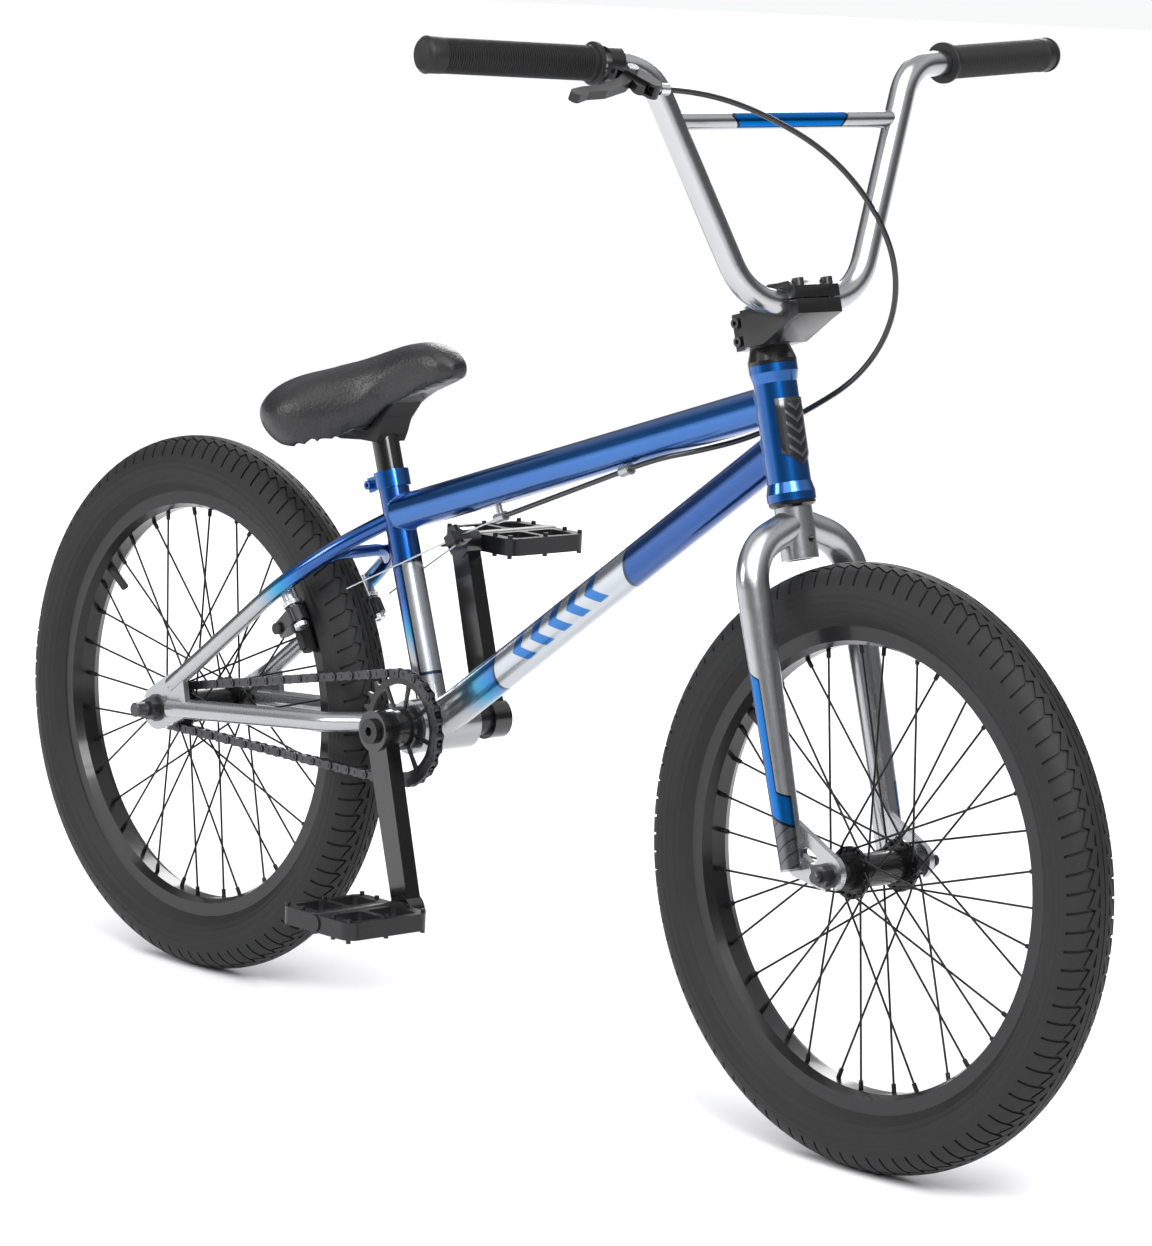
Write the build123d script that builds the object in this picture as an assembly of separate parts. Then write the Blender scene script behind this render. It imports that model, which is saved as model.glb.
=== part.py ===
from build123d import *

import math
import os

os.makedirs("parts", exist_ok=True)

# A 20-inch freestyle bike, in millimetres: X forward, Y to the rider's left, Z up.
# The origin is on the ground, midway between the two wheel axles.

# Overall geometry
wheelbase = 908.0
tyre_radius = 259.0
head_angle = 74.4
head_tube_length = 117.5
fork_length = 313.0
fork_rake = 36.0
bracket_rise = 33.0
seat_angle = 71.0
seat_tube_length = 236.0
handlebar_rise = 214.6
handlebar_width = 729.0
crank_length = 165.0
crank_lean = 16.0

# Fits between pieces
running_fit = 0.05
loose_fit = 0.3

# Frame tubes: outer radii and walls
head_radius = 19.0
head_flare = 21.3
flare_height = 7.0
flare_taper = 9.0
top_radius = 17.2
top_height = 84.7
down_radius = 17.3
down_height = 47.2
seat_radius = 14.3
top_on_seat = 38.7
tube_wall = 1.6
shell_radius = 25.0
shell_width = 68.0
chain_stay_radius = 9.5
seat_stay_radius = 8.0
seat_stay_angle = 36.8
seat_stay_drop = 9.0
dropout_thickness = 6.0
rear_spacing = 110.0
front_spacing = 100.0

# Steering bearings, fork and stem
bearing_radius = 19.6
bearing_height = 7.0
steerer_radius = 14.3
steerer_wall = 2.4
steerer_foot = 16.4
lower_stack = 4.9
leg_spread = 60.0
leg_top_radius = 14.3
leg_end_radius = 10.8
leg_wall = 1.8
leg_end_height = 8.0
crown_height = 300.0
shoulder_height = 278.0
cover_height = 15.0
stem_reach = 46.0
stem_height = 32.0
stem_half_width = 26.0
bar_drop = 15.0
bar_radius = 11.1
bar_wall = 2.0
crossbar_radius = 7.5
crossbar_height = 152.6

# Wheels
tyre_width = 57.0
casing_wall = 3.8
tube_wall_thickness = 1.0
bead_radius = 203.0
rim_width = 32.0
rim_depth = 19.0
flange_height = 6.0
spoke_count = 36
spoke_crosses = 3
spoke_radius = 1.0
nipple_radius = 2.0
hub_flange_radius = 22.5
hub_hole_radius = 19.3
hub_flange_width = 3.0
hub_flange_place = 29.0
hub_body_radius = 14.5
hub_bore = 12.5
front_axle_radius = 5.0
rear_axle_radius = 7.0

# Transmission
chain_pitch = 12.7
chain_links = 71
sprocket_teeth = 25
driver_teeth = 9
chain_plane = -42.0
tooth_width = 3.0
roller_radius = 3.87
roller_width = 3.3
plate_height = 8.6
plate_thickness = 1.15
spindle_radius = 10.95
bracket_bearing_radius = 20.5
bracket_bearing_width = 11.0
arm_inner = 57.0
arm_thickness = 20.0
pedal_length = 98.0
pedal_width = 96.0
pedal_height = 19.0
pedal_axle_radius = 4.6

# Saddle and post
post_radius = 12.7
post_top = 288.0
saddle_length = 237.0
saddle_width = 142.0

# Rear brake
pivot_radius = 222.0
pivot_spread = 46.5
brake_depth = 21.0
arm_layer = 8.5
pad_radius = 197.0
pad_gap = 2.6
pad_post_end = 56.0
anchor_spread = 24.0
anchor_radius = 270.0
carrier_radius = 412.7
carrier_depth = 48.4
wire_radius = 0.8
housing_radius = 2.5

# Brake lever, along the bar (outwards) and away from the bar
lever_drop = 42.0
lever_pivot = (27.0, 18.0)
lever_cable = 38.0
clamp_place = 37.0
clamp_width = 14.0
grip_start = 205.0
grip_radius = 15.0


def sine(angle):
    return math.sin(math.radians(angle))


def cosine(angle):
    return math.cos(math.radians(angle))


def save(name, *pieces):
    solids = [solid for piece in pieces for solid in piece.solids()]
    export_step(Compound(children=solids), f"parts/{name}.step")


def rod(start, end, radius, end_radius=None):
    """A cylinder or a cone from one point to another."""
    start = Vector(*start)
    reach = Vector(*end) - start
    aligned = (Align.CENTER, Align.CENTER, Align.MIN)
    if end_radius is None:
        shape = Cylinder(radius, reach.length, align=aligned)
    else:
        shape = Cone(radius, end_radius, reach.length, align=aligned)
    return Plane(start, z_dir=reach) * shape


def ring(start, end, radius, bore):
    return rod(start, end, radius) - rod(start, end, bore)


def pipe(points, radii, radius, bore=0.0):
    """A round tube along straight runs joined by arcs."""
    path = FilletPolyline(*points, radius=radii)
    section = Circle(radius)
    if bore:
        section -= Circle(bore)
    return sweep(Plane(path @ 0, z_dir=path % 0) * section, path=path)


def turned(*points):
    """A solid of revolution about Z, from points (radius, height)."""
    return revolve(Plane.XZ * Polygon(*points, align=None), Axis.Z)


def spun(*points):
    """A solid of revolution about Y, from points (radius, place along Y)."""
    return revolve(Polygon(*points, align=None), Axis.Y)


def blob(*circles):
    """The outline wrapped round circles (x, y, radius), taken in pairs."""
    outline = Sketch()
    for first, second in zip(circles, circles[1:]):
        pair = [Pos(x, y) * Circle(r).edge() for x, y, r in (first, second)]
        outline += make_hull(pair)
    return outline


def mirrored(piece):
    return mirror(piece, about=Plane.XZ)


def biggest(piece):
    return max(piece.solids(), key=lambda solid: solid.volume)


def around(piece, axis, count, start=0.0):
    return [piece.rotate(axis, start + 360 / count * turn) for turn in range(count)]


# The chain is taut on both wheels' teeth, and that sets the distance from bracket to rear axle.
sprocket_pitch = chain_pitch / 2 / sine(180 / sprocket_teeth)
driver_pitch = chain_pitch / 2 / sine(180 / driver_teeth)
chain_centres = chain_pitch * (chain_links - (sprocket_teeth + driver_teeth) / 2) / 2
for turn in range(20):
    wrap = math.degrees(math.asin((sprocket_pitch - driver_pitch) / chain_centres))
    run = math.sqrt(chain_centres**2 - (sprocket_pitch - driver_pitch) ** 2)
    held = sprocket_teeth * (180 + 2 * wrap) / 360 + driver_teeth * (180 - 2 * wrap) / 360
    chain_centres += (chain_links - held - 2 * run / chain_pitch) * chain_pitch / 2

front_x = wheelbase / 2
rear_x = -wheelbase / 2
bracket_x = rear_x + math.sqrt(chain_centres**2 - bracket_rise**2)
bracket_z = tyre_radius + bracket_rise
front_axle_at = Vector(front_x, 0, tyre_radius)
rear_axle_at = Vector(rear_x, 0, tyre_radius)
bracket_at = Vector(bracket_x, 0, bracket_z)
front_hub_place = Pos(front_axle_at)
rear_hub_place = Pos(rear_axle_at)
bracket_place = Pos(bracket_at)

# Steering frame: Z runs up the steering axis, X forward, with the front axle at (fork_rake, 0, 0).
steer_up = Vector(-cosine(head_angle), 0, sine(head_angle))
steer_forward = Vector(sine(head_angle), 0, cosine(head_angle))
steer_base = front_axle_at - steer_forward * fork_rake
steering = Plane(steer_base, x_dir=steer_forward, z_dir=steer_up)
head_low = fork_length + lower_stack
head_high = head_low + head_tube_length


def on_steering(height):
    return steer_base + steer_up * height


# Frame
seat_up = Vector(-cosine(seat_angle), 0, sine(seat_angle))
seat_top = bracket_at + seat_up * seat_tube_length
top_back = bracket_at + seat_up * (seat_tube_length - top_on_seat)
top_front = on_steering(head_low + top_height)
down_front = on_steering(head_low + down_height)
top_line = (top_front - top_back).normalized()
down_line = (down_front - bracket_at).normalized()

seat_solid = rod(bracket_at, seat_top, seat_radius)
half_shell = Vector(0, shell_width / 2, 0)
shell_solid = rod(bracket_at - half_shell, bracket_at + half_shell, shell_radius)
top_solid = rod(top_back, top_front, top_radius)
down_solid = rod(bracket_at, down_front, down_radius)

pocket = bearing_radius
bearing_low = head_low + bearing_height
bearing_high = head_high - bearing_height
inner = head_radius - 2
head_tube = steering * turned(
    (pocket, head_low),
    (head_flare, head_low),
    (head_flare, head_low + flare_height),
    (head_radius, head_low + flare_height + flare_taper),
    (head_radius, head_high - flare_height - flare_taper),
    (head_flare, head_high - flare_height),
    (head_flare, head_high),
    (pocket, head_high),
    (pocket, bearing_high),
    (inner, bearing_high),
    (inner, bearing_low),
    (pocket, bearing_low),
)
save("head_tube", head_tube)

head_cut = steering * turned(
    (0, head_low),
    (head_flare, head_low),
    (head_flare, head_low + flare_height),
    (head_radius, head_low + flare_height + flare_taper),
    (head_radius, head_high - flare_height - flare_taper),
    (head_flare, head_high - flare_height),
    (head_flare, head_high),
    (0, head_high),
)
top_start = top_back + top_line * 6
top_end = top_front - top_line * 6
top_tube = ring(top_start, top_end, top_radius, top_radius - tube_wall)
top_tube = biggest(top_tube - seat_solid - head_cut)
save("top_tube", top_tube)

down_end = down_front - down_line * 8
down_tube = ring(bracket_at, down_end, down_radius, down_radius - tube_wall)
down_tube = biggest(down_tube - head_cut - shell_solid - top_solid)
save("down_tube", down_tube)

seat_tube = ring(bracket_at, seat_top, seat_radius, post_radius)
clamp_slot = rod(seat_top - seat_up * 20, seat_top - seat_up * 20 - Vector(20, 0, 0), 1.2)
seat_tube = biggest(seat_tube - shell_solid - down_solid - clamp_slot)
save("seat_tube", seat_tube)

bearing_face = shell_width / 2 - bracket_bearing_width
bracket_shell = spun(
    (bracket_bearing_radius - 2, -bearing_face),
    (bracket_bearing_radius, -bearing_face),
    (bracket_bearing_radius, -shell_width / 2),
    (shell_radius, -shell_width / 2),
    (shell_radius, shell_width / 2),
    (bracket_bearing_radius, shell_width / 2),
    (bracket_bearing_radius, bearing_face),
    (bracket_bearing_radius - 2, bearing_face),
)
save("bottom_bracket_shell", bracket_place * bracket_shell)

# The rear dropouts, with open slots to the rear, and the stays that end on them.
stay_end_x = rear_x + 29
plate = blob((0, 0, 21), (stay_end_x - rear_x + 8, 4, 9)) + blob((0, 0, 21), (31, 34, 8))
plate += blob((stay_end_x - rear_x + 8, 4, 9), (31, 34, 8))
plate -= Circle(rear_axle_radius + 0.2)
plate -= Pos(-20, 0) * Rectangle(40, 2 * rear_axle_radius + 0.4)
plate = extrude(Plane.XZ * plate, -dropout_thickness)
left_plate = rear_hub_place * Pos(0, rear_spacing / 2, 0) * plate

chain_stay_points = [
    (stay_end_x - 12, 56, tyre_radius + 2),
    (bracket_x - 105, 42, tyre_radius + 0.6 * bracket_rise + 2),
    (bracket_x - 60.5, 27, tyre_radius + 0.8 * bracket_rise + 1),
    (bracket_x, 20, bracket_z),
]
chain_stay = pipe(chain_stay_points, [120, 120], chain_stay_radius, chain_stay_radius - tube_wall)
chain_stay = biggest(chain_stay - shell_solid - left_plate)
save("chain_stays", chain_stay, mirrored(chain_stay))

# Brake frame: X to the left, Y outwards from the rear axle along the seat stays, Z below the stays.
stay_out = Vector(cosine(seat_stay_angle), 0, sine(seat_stay_angle))
stay_under = Vector(sine(seat_stay_angle), 0, -cosine(seat_stay_angle))
brake = Plane(rear_axle_at, x_dir=(0, 1, 0), z_dir=stay_under)


def on_brake(x, y, z):
    return rear_axle_at + Vector(0, x, 0) + stay_out * y + stay_under * z


seat_stay_points = [
    on_brake(57, 30, -seat_stay_drop),
    on_brake(57, 270, -seat_stay_drop),
    on_brake(3, 351, -seat_stay_drop),
]
seat_stay_solid = pipe(seat_stay_points, [235], seat_stay_radius)
seat_stay = pipe(seat_stay_points, [235], seat_stay_radius, seat_stay_radius - tube_wall)
seat_stay = biggest(seat_stay - seat_solid - left_plate - top_solid)
left_room = Box(2 * wheelbase, wheelbase, 2 * wheelbase, align=(Align.CENTER, Align.MIN, Align.CENTER))
seat_stay = biggest(seat_stay & left_room)
bridge_points = [
    on_brake(-50, 262, -seat_stay_drop),
    on_brake(-26, 286, -seat_stay_drop),
    on_brake(26, 286, -seat_stay_drop),
    on_brake(50, 262, -seat_stay_drop),
]
bridge = pipe(bridge_points, [24, 24], 6.5, 5.0)
bridge = biggest(bridge - seat_stay_solid - mirrored(seat_stay_solid))
save("seat_stays", seat_stay, mirrored(seat_stay), bridge)

# Brake bosses, cable guide and cable stop.
boss_end = brake_depth - arm_layer - 1
boss = rod(on_brake(pivot_spread, pivot_radius, -12), on_brake(pivot_spread, pivot_radius, boss_end), 7.5)
boss_bore = rod(on_brake(pivot_spread, pivot_radius, -1.5), on_brake(pivot_spread, pivot_radius, boss_end), 4)
boss = biggest(boss - seat_stay_solid - boss_bore)
stop_at = Vector(-38, 0, 493.5)
guide_corner = Vector(178, -13, 574)
housing_line = (guide_corner - stop_at).normalized()
guide_at = stop_at + housing_line * 188
guide = rod(guide_at - housing_line * 6, guide_at + housing_line * 6, 5.5)
guide -= rod(guide_at - housing_line * 7, guide_at + housing_line * 7, housing_radius + 0.3)
guide = biggest(guide - top_solid)
stop = rod(stop_at - housing_line * 5, stop_at + housing_line * 9, 4.6)
strut_top = stop_at + housing_line.rotate(Axis.Y, -90) * 14
stop += rod(stop_at + housing_line * 2, strut_top + housing_line * 2, 3.2)
stop -= rod(stop_at - housing_line * 6, stop_at, wire_radius + 0.3)
stop -= rod(stop_at, stop_at + housing_line * 10, housing_radius + running_fit)
stop = biggest(stop - top_solid)
save("frame_fittings", left_plate, mirrored(left_plate), boss, mirrored(boss), guide, stop)

# Seat clamp, post and saddle.
clamp_low = seat_top - seat_up * 14
clamp_high = seat_top + seat_up * 2
clamp_back = Vector(-seat_up.Z, 0, seat_up.X)
clamp = rod(clamp_low, clamp_high, seat_radius + 2.3)
ear_plane = Plane((clamp_low + clamp_high) / 2, x_dir=clamp_back, z_dir=seat_up)
clamp += ear_plane * Pos(seat_radius + 6, 0, 0) * Box(12, 16, 14)
clamp -= rod(clamp_low, seat_top, seat_radius)
clamp -= rod(seat_top, clamp_high, post_radius)
clamp -= ear_plane * Pos(seat_radius + 6, 0, 0) * Box(20, 2, 30)
ear_centre = (clamp_low + clamp_high) / 2 + clamp_back * (seat_radius + 8)
clamp_bolt = rod(ear_centre + Vector(0, -8, 0), ear_centre + Vector(0, 8, 0), 2.5)
clamp_bolt += rod(ear_centre + Vector(0, -13, 0), ear_centre + Vector(0, -8, 0), 4.2)
clamp_bolt -= rod(ear_centre + Vector(0, -13, 0), ear_centre + Vector(0, -10, 0), 2)
clamp -= rod(ear_centre + Vector(0, -8, 0), ear_centre + Vector(0, 8, 0), 2.5)
save("seat_clamp", clamp, clamp_bolt)

post_end = bracket_at + seat_up * post_top
post = rod(seat_top - seat_up * 110, post_end, post_radius)
post += rod(post_end + Vector(0, -14, 0), post_end + Vector(0, 14, 0), 15)
post -= rod(seat_top - seat_up * 110, post_end - seat_up * 24, post_radius - 2.4)
saddle_bolt_end = post_end + Vector(0, 0, 30)
post -= rod(post_end - Vector(0, 0, 16), saddle_bolt_end, 4)
saddle_bolt = rod(post_end - Vector(0, 0, 10), post_end + Vector(0, 0, 17), 4)
saddle_bolt += rod(post_end + Vector(0, 0, 17), post_end + Vector(0, 0, 22), 7)
save("seat_post", post, saddle_bolt)

saddle_place = Pos(post_end.X - 9, 0, post_end.Z)

# Sections from tail to nose: place along the saddle, half width, then top, side and low heights.
saddle_sections = [
    (-118, 30, 4, -4, -12),
    (-104, 54, 19, -5, -23),
    (-80, 69, 31, -5, -32),
    (-48, 71, 41, -1, -34),
    (-16, 55, 50, 10, -27),
    (12, 38, 59, 25, -8),
    (44, 27, 70, 43, 18),
    (76, 22, 77, 56, 34),
    (102, 18, 73, 58, 43),
    (118, 9, 63, 56, 48),
]


def saddle_section(place, width, top, side, low):
    half_points = [(0.62 * width, top - 0.16 * (top - side)), (width, side), (0.7 * width, low)]
    points = [(0, top)] + half_points + [(0, low + 2)]
    points += [(-across, height) for across, height in half_points[::-1]]
    outline = make_face(Spline(*points, periodic=True))
    return Plane((place, 0, 0), x_dir=(0, 1, 0), z_dir=(1, 0, 0)) * outline


shrink = saddle_length / 237
widen = saddle_width / 142
saddle_shape = loft([
    saddle_section(place * shrink, width * widen, top, side, low)
    for place, width, top, side, low in saddle_sections
])
nose = saddle_length / 2
plan_points = [(place * shrink, width * widen) for place, width, *heights in saddle_sections]
plan_edge = Spline((-nose, 0), *plan_points[1:-1], (nose, 0))
plan = make_face(plan_edge + mirror(plan_edge, about=Plane.XZ))

# The base: a keel round the post's head and a floor under the tail, which is hollow below it.
keel_half = 17.0
floor_low = -10.0
floor_high = -6.0
keel_side = [(-12, -14), (0, -20), (23, -20), (27, -12), (32, 3), (45, 19), (66, 32), (90, 42)]
keel_side += [(90, 45), (62, 36), (36, 24), (0, 4), (-12, floor_high)]
keel = extrude(Plane.XZ * Polygon(*keel_side, align=None), keel_half, both=True)
floor_plan = scale(plan, 0.72)
floor = saddle_shape & (Pos(0, 0, floor_low) * extrude(floor_plan, floor_high - floor_low))
hollow = Pos(0, 0, floor_low - nose) * extrude(floor_plan, nose)
base_block = saddle_place * (keel + floor)
head_cavity = rod(post_end - Vector(0, 14.3, 0), post_end + Vector(0, 14.3, 0), 15.3)
head_cavity += rod(post_end, post_end - seat_up * 60, post_radius + loose_fit)
bolt_room = rod(post_end, saddle_bolt_end, 8)
bolt_ledge = ring(post_end + Vector(0, 0, 14), post_end + Vector(0, 0, 17), 11, 4.2)
base = biggest(base_block - head_cavity - bolt_room + (bolt_ledge - head_cavity))
pad = saddle_place * (saddle_shape - hollow) - base_block - head_cavity - bolt_room - bolt_ledge
pad = biggest(pad)
save("saddle_pad", pad)
save("saddle_base", base)

# Bearings of the steering and of the cranks.
steer_bore = steerer_radius + 0.8
low_bearing = ring((0, 0, head_low), (0, 0, bearing_low), bearing_radius, steer_bore)
high_bearing = ring((0, 0, bearing_high), (0, 0, head_high), bearing_radius, steer_bore)
save("headset_bearings", steering * low_bearing, steering * high_bearing)
crank_bearing = ring(
    (0, bearing_face, 0),
    (0, shell_width / 2, 0),
    bracket_bearing_radius,
    spindle_radius + running_fit,
)
save("crank_bearings", bracket_place * crank_bearing, bracket_place * mirrored(crank_bearing))

# Rear axle, its nuts and washers.
collar_radius = 9.0
hub_end = 37.5
rear_hub_end = 46.0
driver_end = 52.0
driver_boss_radius = 12.6
rear_axle_end = 88.0
front_axle_end = 74.0
inner_face = rear_spacing / 2
outer_face = inner_face + dropout_thickness
groove_width = 0.8


def axle(radius, half_length, collars, groove):
    """An axle with its collars; a groove outside each nut marks off the free end."""
    shaft = rod((0, -half_length, 0), (0, half_length, 0), radius)
    for inside, outside in collars:
        shaft += rod((0, inside, 0), (0, outside, 0), collar_radius)
    cut = ring((0, groove, 0), (0, groove + groove_width, 0), radius + 1, radius - 0.6)
    shaft = shaft - cut - mirrored(cut)
    ends = shaft.faces().sort_by(Axis.Y)
    return chamfer(ends[0].edges() + ends[-1].edges(), 1)


def nut(across, bore, near, far):
    hexagon = RegularPolygon(across / 2, 6, major_radius=False) - Circle(bore)
    return extrude(Plane((0, near, 0), z_dir=(0, 1, 0)) * hexagon, far - near)


rear_collars = ((-inner_face, -driver_end - loose_fit), (rear_hub_end + loose_fit, inner_face))
save("rear_axle", rear_hub_place * axle(rear_axle_radius, rear_axle_end, rear_collars, outer_face + 12))
rear_washer = ring((0, outer_face, 0), (0, outer_face + 2, 0), 13, rear_axle_radius)
rear_nut = nut(19, rear_axle_radius, outer_face + 2, outer_face + 12)
rear_fixings = [rear_hub_place * piece for piece in (rear_washer, rear_nut)]
save("rear_axle_nuts", *rear_fixings, *[mirrored(piece) for piece in rear_fixings])

# Fork: two tapering legs that curve in to the steerer, with plates that reach forward to the axle.
steerer_low = crown_height - 32
stem_low = head_high + cover_height + 1
stem_high = stem_low + stem_height
steerer_top = stem_high - 3
steerer = ring((0, 0, steerer_low), (0, 0, steerer_top), steerer_radius, steerer_radius - steerer_wall)
steerer += ring((0, 0, steerer_low), (0, 0, fork_length), steerer_foot, steerer_radius)
steerer -= rod((0, 0, steerer_low + 16), (30, 0, steerer_low + 16), 3)
save("fork_steerer", steering * steerer)

taper_top = shoulder_height - 48
front_face = front_spacing / 2
shoulder_points = [
    (0, leg_spread, taper_top),
    (0, leg_spread, shoulder_height),
    (0, 0, crown_height),
]
leg = pipe(shoulder_points, [44], leg_top_radius, leg_top_radius - leg_wall)
taper_low = (0, leg_spread, leg_end_height)
taper_high = (0, leg_spread, taper_top)
taper = rod(taper_low, taper_high, leg_end_radius, leg_top_radius)
taper -= rod(taper_low, taper_high, leg_end_radius - leg_wall, leg_top_radius - leg_wall)
leg += taper
leg -= rod((0, 0, steerer_low - 30), (0, 0, steerer_top), steerer_foot)
fork_plate = blob((0, leg_end_height + 34, 10), (0, leg_end_height + 4, 10), (fork_rake, 2, 16))
fork_plate += blob((0, leg_end_height + 34, 10), (fork_rake, 2, 16))
fork_plate -= blob((14, 22, 4.5), (21, 16, 4.5))
fork_plate -= Pos(fork_rake, 0) * Circle(front_axle_radius + 0.2)
fork_plate -= Pos(fork_rake, -20) * Rectangle(2 * front_axle_radius + 0.4, 40)
fork_plate = extrude(Plane((0, front_face, 0), x_dir=(1, 0, 0), z_dir=(0, -1, 0)) * fork_plate, -6)
leg = biggest(leg - fork_plate) + fork_plate
leg = biggest(leg)
save("fork_legs", steering * leg, steering * mirrored(leg))

# Front axle, nuts, hooked washers.
front_place = steering * Pos(fork_rake, 0, 0)
front_collars = ((-front_face, -hub_end - loose_fit), (hub_end + loose_fit, front_face))
hook_face = front_face + 6
front_nut_end = hook_face + 11.5
front_axle = axle(front_axle_radius, front_axle_end, front_collars, front_nut_end)
save("front_axle", front_place * front_axle)
front_nut = nut(15, front_axle_radius, hook_face + 2.5, front_nut_end)
hook = Circle(11) + Pos(-9, 6) * Rectangle(16, 9) - Circle(front_axle_radius)
hook = extrude(Plane((0, hook_face, 0), x_dir=(1, 0, 0), z_dir=(0, -1, 0)) * hook, -2.5)
front_fixings = [front_place * piece for piece in (hook, front_nut)]
save("front_axle_nuts", *front_fixings, *[mirrored(piece) for piece in front_fixings])

# Headset: crown race, compression ring, cover and the preload cap, bolt and star nut.
race_grip = steer_bore - running_fit
crown_race = turned(
    (steerer_radius, fork_length),
    (18.5, fork_length),
    (20.5, fork_length + 2),
    (20.5, head_low - loose_fit),
    (race_grip, head_low - loose_fit),
    (race_grip, bearing_low),
    (steerer_radius, bearing_low),
)
cover_low = head_high + loose_fit
cover = turned(
    (steerer_radius, bearing_high),
    (race_grip, bearing_high),
    (race_grip, cover_low),
    (head_flare, cover_low),
    (head_flare, cover_low + 3),
    (17.5, head_high + cover_height),
    (steerer_radius, head_high + cover_height),
)
spacer = ring((0, 0, head_high + cover_height), (0, 0, stem_low), 17.5, steerer_radius)
preload_cap = ring((0, 0, stem_high), (0, 0, stem_high + 4), 17, 3.1)
preload_bolt = rod((0, 0, steerer_top - 36), (0, 0, stem_high + 4), 3)
preload_bolt += rod((0, 0, stem_high + 4), (0, 0, stem_high + 7), 5.5)
preload_bolt -= rod((0, 0, stem_high + 4.5), (0, 0, stem_high + 8), 2.5)
star_nut = ring((0, 0, steerer_top - 34), (0, 0, steerer_top - 28), steerer_radius - steerer_wall, 3)
headset = (crown_race, cover, spacer, preload_cap, preload_bolt, star_nut)
save("headset", *[steering * piece for piece in headset])

# Handlebar: measured in the plane of its uprights, with a welded crossbar.
bar_height = stem_high + bar_drop - 16
bar_lean = 0.0741
upright_slope = 0.4547
grip_bend = Vector(stem_reach + bar_lean * 198.5, 154.3, bar_height + handlebar_rise - 16.1)
bar_end = Vector(stem_reach - 16, handlebar_width / 2, bar_height + handlebar_rise)
half_bar = [
    Vector(stem_reach, 0, bar_height),
    Vector(stem_reach, grip_bend.Y - upright_slope * 198.5, bar_height),
    grip_bend,
    bar_end,
]
bar_bends = [55, 44]


def mirror_point(point):
    return Vector(point.X, -point.Y, point.Z)


bar_points = [tuple(mirror_point(point)) for point in half_bar[:0:-1]]
bar_points += [tuple(point) for point in half_bar[1:]]
bends = bar_bends[::-1] + bar_bends
bar_inside = bar_radius - bar_wall
bar_solid = pipe(bar_points, bends, bar_radius)
crossbar_spread = half_bar[1].Y + upright_slope * crossbar_height
crossbar_x = stem_reach + bar_lean * crossbar_height
crossbar_z = bar_height + crossbar_height
crossbar_end = Vector(crossbar_x, crossbar_spread, crossbar_z)
handlebar = bar_solid + rod(mirror_point(crossbar_end), crossbar_end, crossbar_radius)
handlebar -= pipe(bar_points, bends, bar_inside)
crossbar_end = Vector(crossbar_x, crossbar_spread - bar_radius - 2, crossbar_z)
handlebar -= rod(mirror_point(crossbar_end), crossbar_end, crossbar_radius - tube_wall)
save("handlebar", steering * biggest(handlebar))

# Stem: clamps the steerer at its back, holds the bar under a top plate.
stem_side = Polygon(
    (-4, stem_low),
    (19, stem_low),
    (stem_reach + 8, bar_height - 17),
    (stem_reach + 20, bar_height - 13),
    (stem_reach + 20, bar_height - 0.6),
    (23, bar_height - 0.6),
    (18, stem_high),
    (-4, stem_high),
    align=None,
)
bar_hole = rod((stem_reach, -40, bar_height), (stem_reach, 40, bar_height), bar_radius)
stem_front = extrude(Plane.XZ * stem_side, stem_half_width, both=True)
stem = stem_front + rod((0, 0, stem_low), (0, 0, stem_high), 21)
stem += Pos(-19, 0, stem_low + stem_height / 2) * Box(16, 27, stem_height)
stem -= rod((0, 0, stem_low - 1), (0, 0, stem_high + 1), steerer_radius)
stem -= Pos(-22, 0, stem_low + stem_height / 2) * Box(22, 2.4, stem_height + 2)
stem -= bar_hole
stem_cap = extrude(
    Plane.XZ
    * Polygon(
        (stem_reach - 21, bar_height + 0.6),
        (stem_reach + 20, bar_height + 0.6),
        (stem_reach + 20, bar_height + 11),
        (stem_reach + 13, bar_height + 16),
        (stem_reach - 14, bar_height + 16),
        (stem_reach - 21, bar_height + 11),
        align=None,
    ),
    stem_half_width,
    both=True,
)
stem_cap -= bar_hole
stem_bolts = []
for bolt_x in (stem_reach - 15.4, stem_reach + 15.4):
    for bolt_y in (-17, 17):
        shank = rod((bolt_x, bolt_y, bar_height - 12), (bolt_x, bolt_y, bar_height + 13), 3)
        head = rod((bolt_x, bolt_y, bar_height + 11), (bolt_x, bolt_y, bar_height + 17.5), 5)
        socket = rod((bolt_x, bolt_y, bar_height + 13), (bolt_x, bolt_y, bar_height + 18), 2.9)
        bolt = shank + head - socket
        stem -= shank
        stem_cap -= shank + head
        stem_bolts.append(bolt)
for bolt_z in (stem_low + 8, stem_high - 8):
    shank = rod((-21, -13.5, bolt_z), (-21, 13.5, bolt_z), 2.6)
    head = rod((-21, -17.5, bolt_z), (-21, -13.5, bolt_z), 4.4)
    stem -= shank
    stem_bolts.append(shank + head - rod((-21, -17.6, bolt_z), (-21, -15, bolt_z), 2.1))
save("stem_body", steering * biggest(stem))
save("stem_cap", steering * biggest(stem_cap))
save("stem_bolts", *[steering * bolt for bolt in stem_bolts])

# Grips over the bar, each with a plug in the bar's end.
bar_line = (bar_end - grip_bend).normalized()
grip_from = grip_bend + bar_line * ((grip_start - grip_bend.Y) / bar_line.Y)
grip_to = bar_end
grip_core = rod(grip_from, grip_to, grip_radius)
grip_core += rod(grip_from, grip_from + bar_line * 4, grip_radius + 3)
grip = grip_core - rod(grip_from, grip_to, bar_radius)
plug = rod(grip_to - bar_line * 22, grip_to, bar_inside)
plug += rod(grip_to, grip_to + bar_line * 5, grip_radius + 0.5, grip_radius - 2.5)
save("grip_left", steering * grip, steering * plug)
save("grip_right", steering * mirrored(grip), steering * mirrored(plug))

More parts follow.
